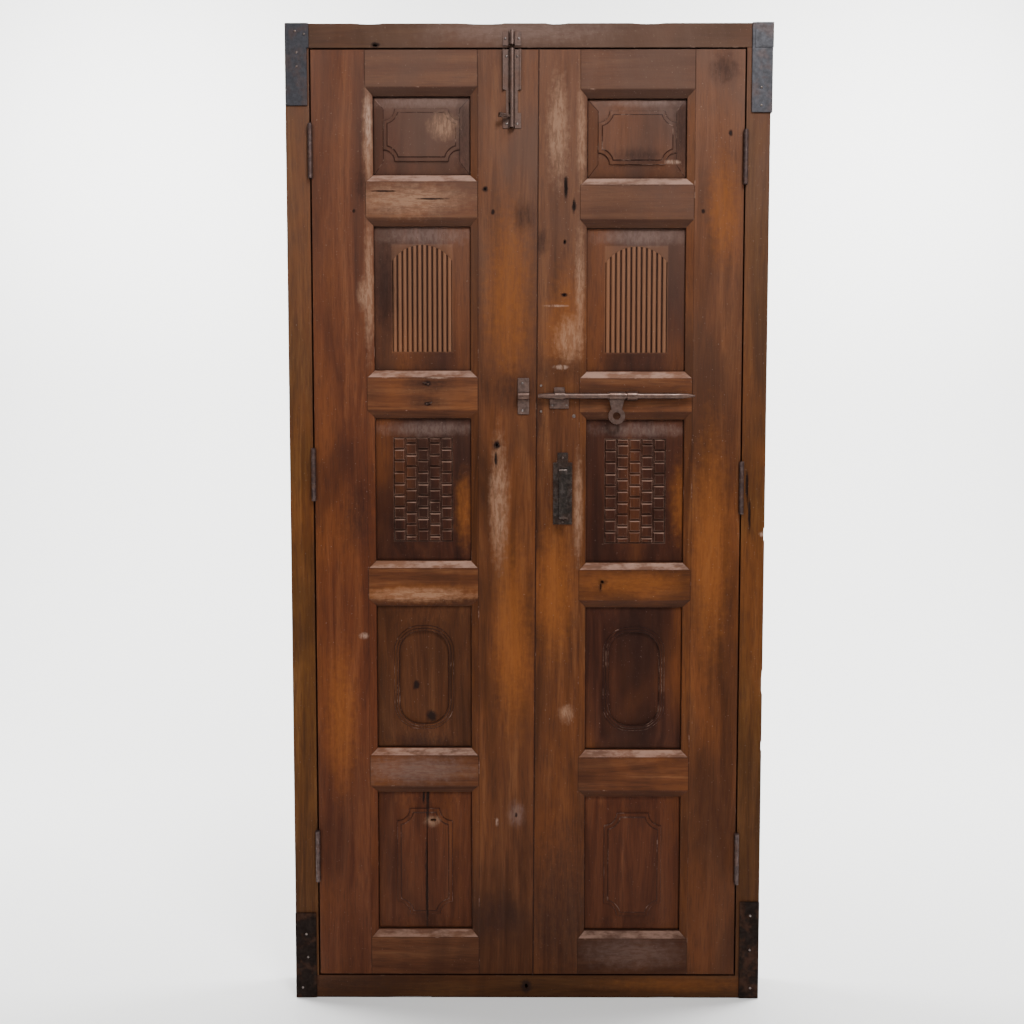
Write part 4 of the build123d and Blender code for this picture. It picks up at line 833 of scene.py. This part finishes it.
class DOOR_OT_meeting_shade(bpy.types.Operator):
    """Puts a dark strip into the gap between the leaves, on both leaves' edges: painted shade, partly old wax
    and dust
    """
    bl_idname = "door.meeting_grime"
    bl_label = "Dark strip in the meeting gap"

    def execute(self, context):
        self.pack("left", 1)
        self.pack("right", -1)
        return {"FINISHED"}

    def pack(self, leaf, side):
        """A ragged dark strip of painted shade, partly dirt, rooted in its leaf's edge. The two leaves'
        strips lie one behind the other.
        """
        width = bpy.context.scene.door_wood.gap_shade_width
        stile = leaf + "_meeting_stile"
        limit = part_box(stile)[1].x if side > 0 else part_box(stile)[0].x
        edge = [
            vertex.co for vertex in frame["nodes"][stile].data.vertices
            if vertex.co.y < FACE + 0.1 * MM and abs(vertex.co.x - limit) < 20 * MM
        ]
        if not edge:
            raise RuntimeError("The meeting stile has no front edge")
        # The front corner of the leaf's edge, which leans a little
        foot, top = min(edge, key=lambda place: place.z), max(edge, key=lambda place: place.z)
        bare_scene()
        bpy.ops.mesh.primitive_cube_add(size=1.0, location=(0, 0, 0))
        piece = bpy.context.object
        piece.name = "meeting_shade_" + leaf
        piece.scale = (width + STRIP_ROOT, STRIP_THICKNESS, top.z - foot.z)
        piece.location = (
            foot.x + side * (width - STRIP_ROOT) / 2, FACE + STRIP_DEPTHS[leaf], (foot.z + top.z) / 2)
        settle(piece)
        mesh = edit(piece)
        show(piece, [face for face in mesh.faces if face.normal.z > 0.9])
        bpy.ops.transform.translate(value=(top.x - foot.x, 0, 0))
        mesh = edit(piece)
        upright = [edge for edge in mesh.edges if edge.calc_length() > 0.5 * (top.z - foot.z)]
        show(piece, upright)
        bpy.ops.mesh.subdivide(number_cuts=STRIP_CUTS)
        bpy.ops.mesh.select_all(action="DESELECT")
        mesh = bmesh.from_edit_mesh(piece.data)
        for vertex in mesh.verts:
            vertex.co.y += noise.noise(vertex.co * STRIP_WAVES) * STRIP_SWAY
        done()
        facts = board_facts(stile, "red", True)
        facts["light"] = STRIP_LIGHT
        facts["marks"] = []
        piece.data.materials.append(wood_material("packed_dirt_and_shade_" + leaf, facts, "grimy_and_shaded"))
        finish_piece(piece, leaf + "_leaf", "stile_wood")


class DOOR_OT_panels(bpy.types.Operator):
    """Dresses the carved panels"""
    bl_idname = "door.panels"
    bl_label = "Carved panels"

    def execute(self, context):
        for leaf in LEAVES:
            for title in PANELS:
                node = f"{leaf}_panel_{title}"
                dress_board(node, "panel", True, "panel_wood", PANEL_EDGE, PANEL_WEAR)
        return {"FINISHED"}


class DOOR_OT_straps(bpy.types.Operator):
    """Dresses the iron corner straps"""
    bl_idname = "door.straps"
    bl_label = "Corner straps"

    def execute(self, context):
        irons = context.scene.door_iron
        for place, colour, gloss in (
            ("top", irons.blue, UPPER_GLOSS), ("bottom", irons.brown, LOWER_GLOSS),
        ):
            iron = iron_material(
                place + "_strap_iron", tones_of(colour, darkest=0.6), roughness=1.0 - gloss, rust=0.25,
                metallic=0.8 * gloss, gloss=gloss)
            for side in LEAVES:
                dress_iron(f"corner_strap_{place}_{side}", "strap_iron", iron, irons.edge_width)
        return {"FINISHED"}


class DOOR_OT_hinges(bpy.types.Operator):
    """Dresses the butt hinges and their pins"""
    bl_idname = "door.hinges"
    bl_label = "Hinges"

    def execute(self, context):
        iron = iron_material("hinge_iron", HINGE_IRON, roughness=0.5, rust=0.4, metallic=0.5)
        for node in sorted(frame["nodes"]):
            if "_half" in node or node == "hinge_pins":
                dress_iron(node, "hinge_iron", iron)
        return {"FINISHED"}


class DOOR_OT_bolts(bpy.types.Operator):
    """Dresses the tower bolt, the cross bolt and the hasp"""
    bl_idname = "door.bolts"
    bl_label = "Bolts"

    def execute(self, context):
        tones = tones_of(context.scene.door_iron.bolt, darkest=0.5)
        iron = iron_material("bolt_iron", tones, roughness=0.36, rust=0.3, metallic=0.75)
        for node in sorted(frame["nodes"]):
            if "_bolt_" in node:
                dress_iron(node, "bolt_iron", iron)
        return {"FINISHED"}


class DOOR_OT_handle(bpy.types.Operator):
    """Dresses the pull handle's plate and grip"""
    bl_idname = "door.handle"
    bl_label = "Pull handle"

    def execute(self, context):
        iron = iron_material("handle_iron", HANDLE_IRON, roughness=0.34, rust=0.2)
        for node in ("pull_handle_plate", "pull_handle_grip"):
            dress_iron(node, "handle_iron", iron)
        return {"FINISHED"}


class DOOR_OT_nails(bpy.types.Operator):
    """Dresses the nails"""
    bl_idname = "door.nails"
    bl_label = "Nails"

    def execute(self, context):
        iron = iron_material("nail_iron", NAIL_IRON, roughness=0.38, rust=0.3)
        for node in ("frame_nails", "left_leaf_nails", "right_leaf_nails"):
            piece = copy_of(node, node + "_forged", [iron])
            apply_modifier(piece, "SUBSURF", levels=2, render_levels=2)
            finish_piece(piece, body_of(node), "nail_iron", node, angle=60)
        return {"FINISHED"}


class DOOR_OT_bent_nails(bpy.types.Operator):
    """Drives two old bent nail stubs into the left leaf's third rail"""
    bl_idname = "door.bent_nails"
    bl_label = "Bent nail stubs"

    def execute(self, context):
        upper = self.stub("upper_bent_nail")
        lower = bpy.data.objects.new("lower_bent_nail", upper.data.copy())
        context.scene.collection.objects.link(lower)
        for piece, (x, z, lean) in zip((upper, lower), BENT_NAILS):
            piece.scale = (lean, 1, 1)
            piece.location = (x * MM, FACE, z * MM)
            settle(piece)
            edit(piece)
            bpy.ops.mesh.select_all(action="SELECT")
            bpy.ops.mesh.normals_make_consistent(inside=False)
            done()
            iron = iron_material(piece.name + "_iron", STUB_IRON, roughness=0.4, rust=0.4)
            piece.data.materials.append(iron)
            finish_piece(piece, "left_leaf", "nail_iron")
        return {"FINISHED"}

    def stub(self, name):
        """A square nail that leaves the wood and is hammered over to one side."""
        bare_scene()
        bpy.ops.mesh.primitive_cube_add(size=STUB_SIDE, location=(0, STUB_ROOT, 0))
        piece = bpy.context.object
        piece.name = name
        settle(piece)
        for move, thickness in STUB_BENDS:
            mesh = edit(piece)
            tip = min(mesh.faces, key=lambda face: face.calc_center_median().y - face.calc_center_median().x)
            show(piece, [tip])
            bpy.ops.mesh.extrude_region_move(
                TRANSFORM_OT_translate={"value": tuple(step * MM for step in move)})
            bpy.ops.transform.resize(value=(thickness,) * 3)
            done()
        apply_modifier(piece, "BEVEL", width=STUB_EDGE, segments=2, limit_method="ANGLE")
        return piece


class DOOR_OT_stage(bpy.types.Operator):
    """Lays the floor and backdrop, and sets the lights and the camera"""
    bl_idname = "door.stage"
    bl_label = "Stage"

    def execute(self, context):
        stage = context.scene.door_stage
        bare_scene()
        bpy.ops.mesh.primitive_plane_add(size=FLOOR_SIDE, location=(0, 0, 0))
        floor = context.object
        floor.name = "floor"
        mesh = edit(floor)
        rear = FLOOR_SIDE / 2
        show(floor, [edge for edge in mesh.edges if min(vertex.co.y for vertex in edge.verts) > 0.98 * rear])
        bpy.ops.transform.translate(value=(0, BACKDROP_PLACE - rear, 0))
        bpy.ops.mesh.extrude_region_move(TRANSFORM_OT_translate={"value": (0, 0, BACKDROP_HEIGHT)})
        bpy.ops.mesh.select_all(action="DESELECT")
        mesh = bmesh.from_edit_mesh(floor.data)
        corner = [
            edge for edge in mesh.edges
            if all(vertex.co.y > 0.98 * BACKDROP_PLACE and abs(vertex.co.z) < MM for vertex in edge.verts)
        ]
        show(floor, corner)
        bpy.ops.mesh.bevel(offset=BACKDROP_BEND, segments=BEND_STEPS, affect="EDGES")
        done()
        pick(floor)
        bpy.ops.object.shade_smooth()
        material, _, shader = new_material("stage_paint")
        shader.inputs["Base Color"].default_value = (*stage.floor, 1)
        shader.inputs["Roughness"].default_value = 0.9
        floor.data.materials.append(material)

        world = bpy.data.worlds.new("soft_studio")
        world.use_nodes = True
        background = world.node_tree.nodes["Background"]
        background.inputs["Color"].default_value = (1.0, 1.0, 1.0, 1)
        background.inputs["Strength"].default_value = SKY_STRENGTH
        context.scene.world = world

        for lamp in LAMPS:
            self.hang(*lamp)

        camera = bpy.data.objects.new("camera", bpy.data.cameras.new("camera"))
        camera.location = stage.camera_place
        camera.rotation_euler = (math.pi / 2 + stage.camera_pitch, 0, -stage.camera_yaw)
        camera.data.sensor_width = SENSOR_WIDTH
        camera.data.lens = stage.lens
        context.scene.collection.objects.link(camera)
        context.scene.camera = camera
        return {"FINISHED"}

    def hang(self, name, place, aim, size, power):
        """A square soft light aimed at a point."""
        data = bpy.data.lights.new(name, "AREA")
        data.energy = power
        data.size = size
        lamp = bpy.data.objects.new(name, data)
        lamp.location = place
        lamp.visible_camera = False
        lamp.rotation_euler = (Vector(aim) - Vector(place)).to_track_quat("-Z", "Y").to_euler()
        bpy.context.scene.collection.objects.link(lamp)


OPERATORS = (
    DOOR_OT_frame, DOOR_OT_leaves, DOOR_OT_meeting_shade, DOOR_OT_panels, DOOR_OT_straps, DOOR_OT_hinges,
    DOOR_OT_bolts, DOOR_OT_handle, DOOR_OT_nails, DOOR_OT_bent_nails, DOOR_OT_stage,
)


class DOOR_PT_panel(bpy.types.Panel):
    """Lists the door's sizes, colours and pieces"""
    bl_idname = "DOOR_PT_panel"
    bl_label = "Carved door"
    bl_space_type = "VIEW_3D"
    bl_region_type = "UI"
    bl_category = "Door"

    def draw(self, context):
        for group in (context.scene.door_wood, context.scene.door_iron, context.scene.door_stage):
            for name in group.__annotations__:
                self.layout.prop(group, name)
        for operator in OPERATORS:
            self.layout.operator(operator.bl_idname)


CLASSES = (DoorWood, DoorIron, DoorStage, *OPERATORS, DOOR_PT_panel)


def register():
    for kind in CLASSES:
        bpy.utils.register_class(kind)
    bpy.types.Scene.door_wood = bpy.props.PointerProperty(type=DoorWood)
    bpy.types.Scene.door_iron = bpy.props.PointerProperty(type=DoorIron)
    bpy.types.Scene.door_stage = bpy.props.PointerProperty(type=DoorStage)


def unregister():
    for name in ("door_wood", "door_iron", "door_stage"):
        delattr(bpy.types.Scene, name)
    for kind in reversed(CLASSES):
        bpy.utils.unregister_class(kind)


def main():
    register()
    for operator in OPERATORS:
        getattr(bpy.ops.door, operator.bl_idname.split(".")[1])()


if __name__ == "__main__":
    main()
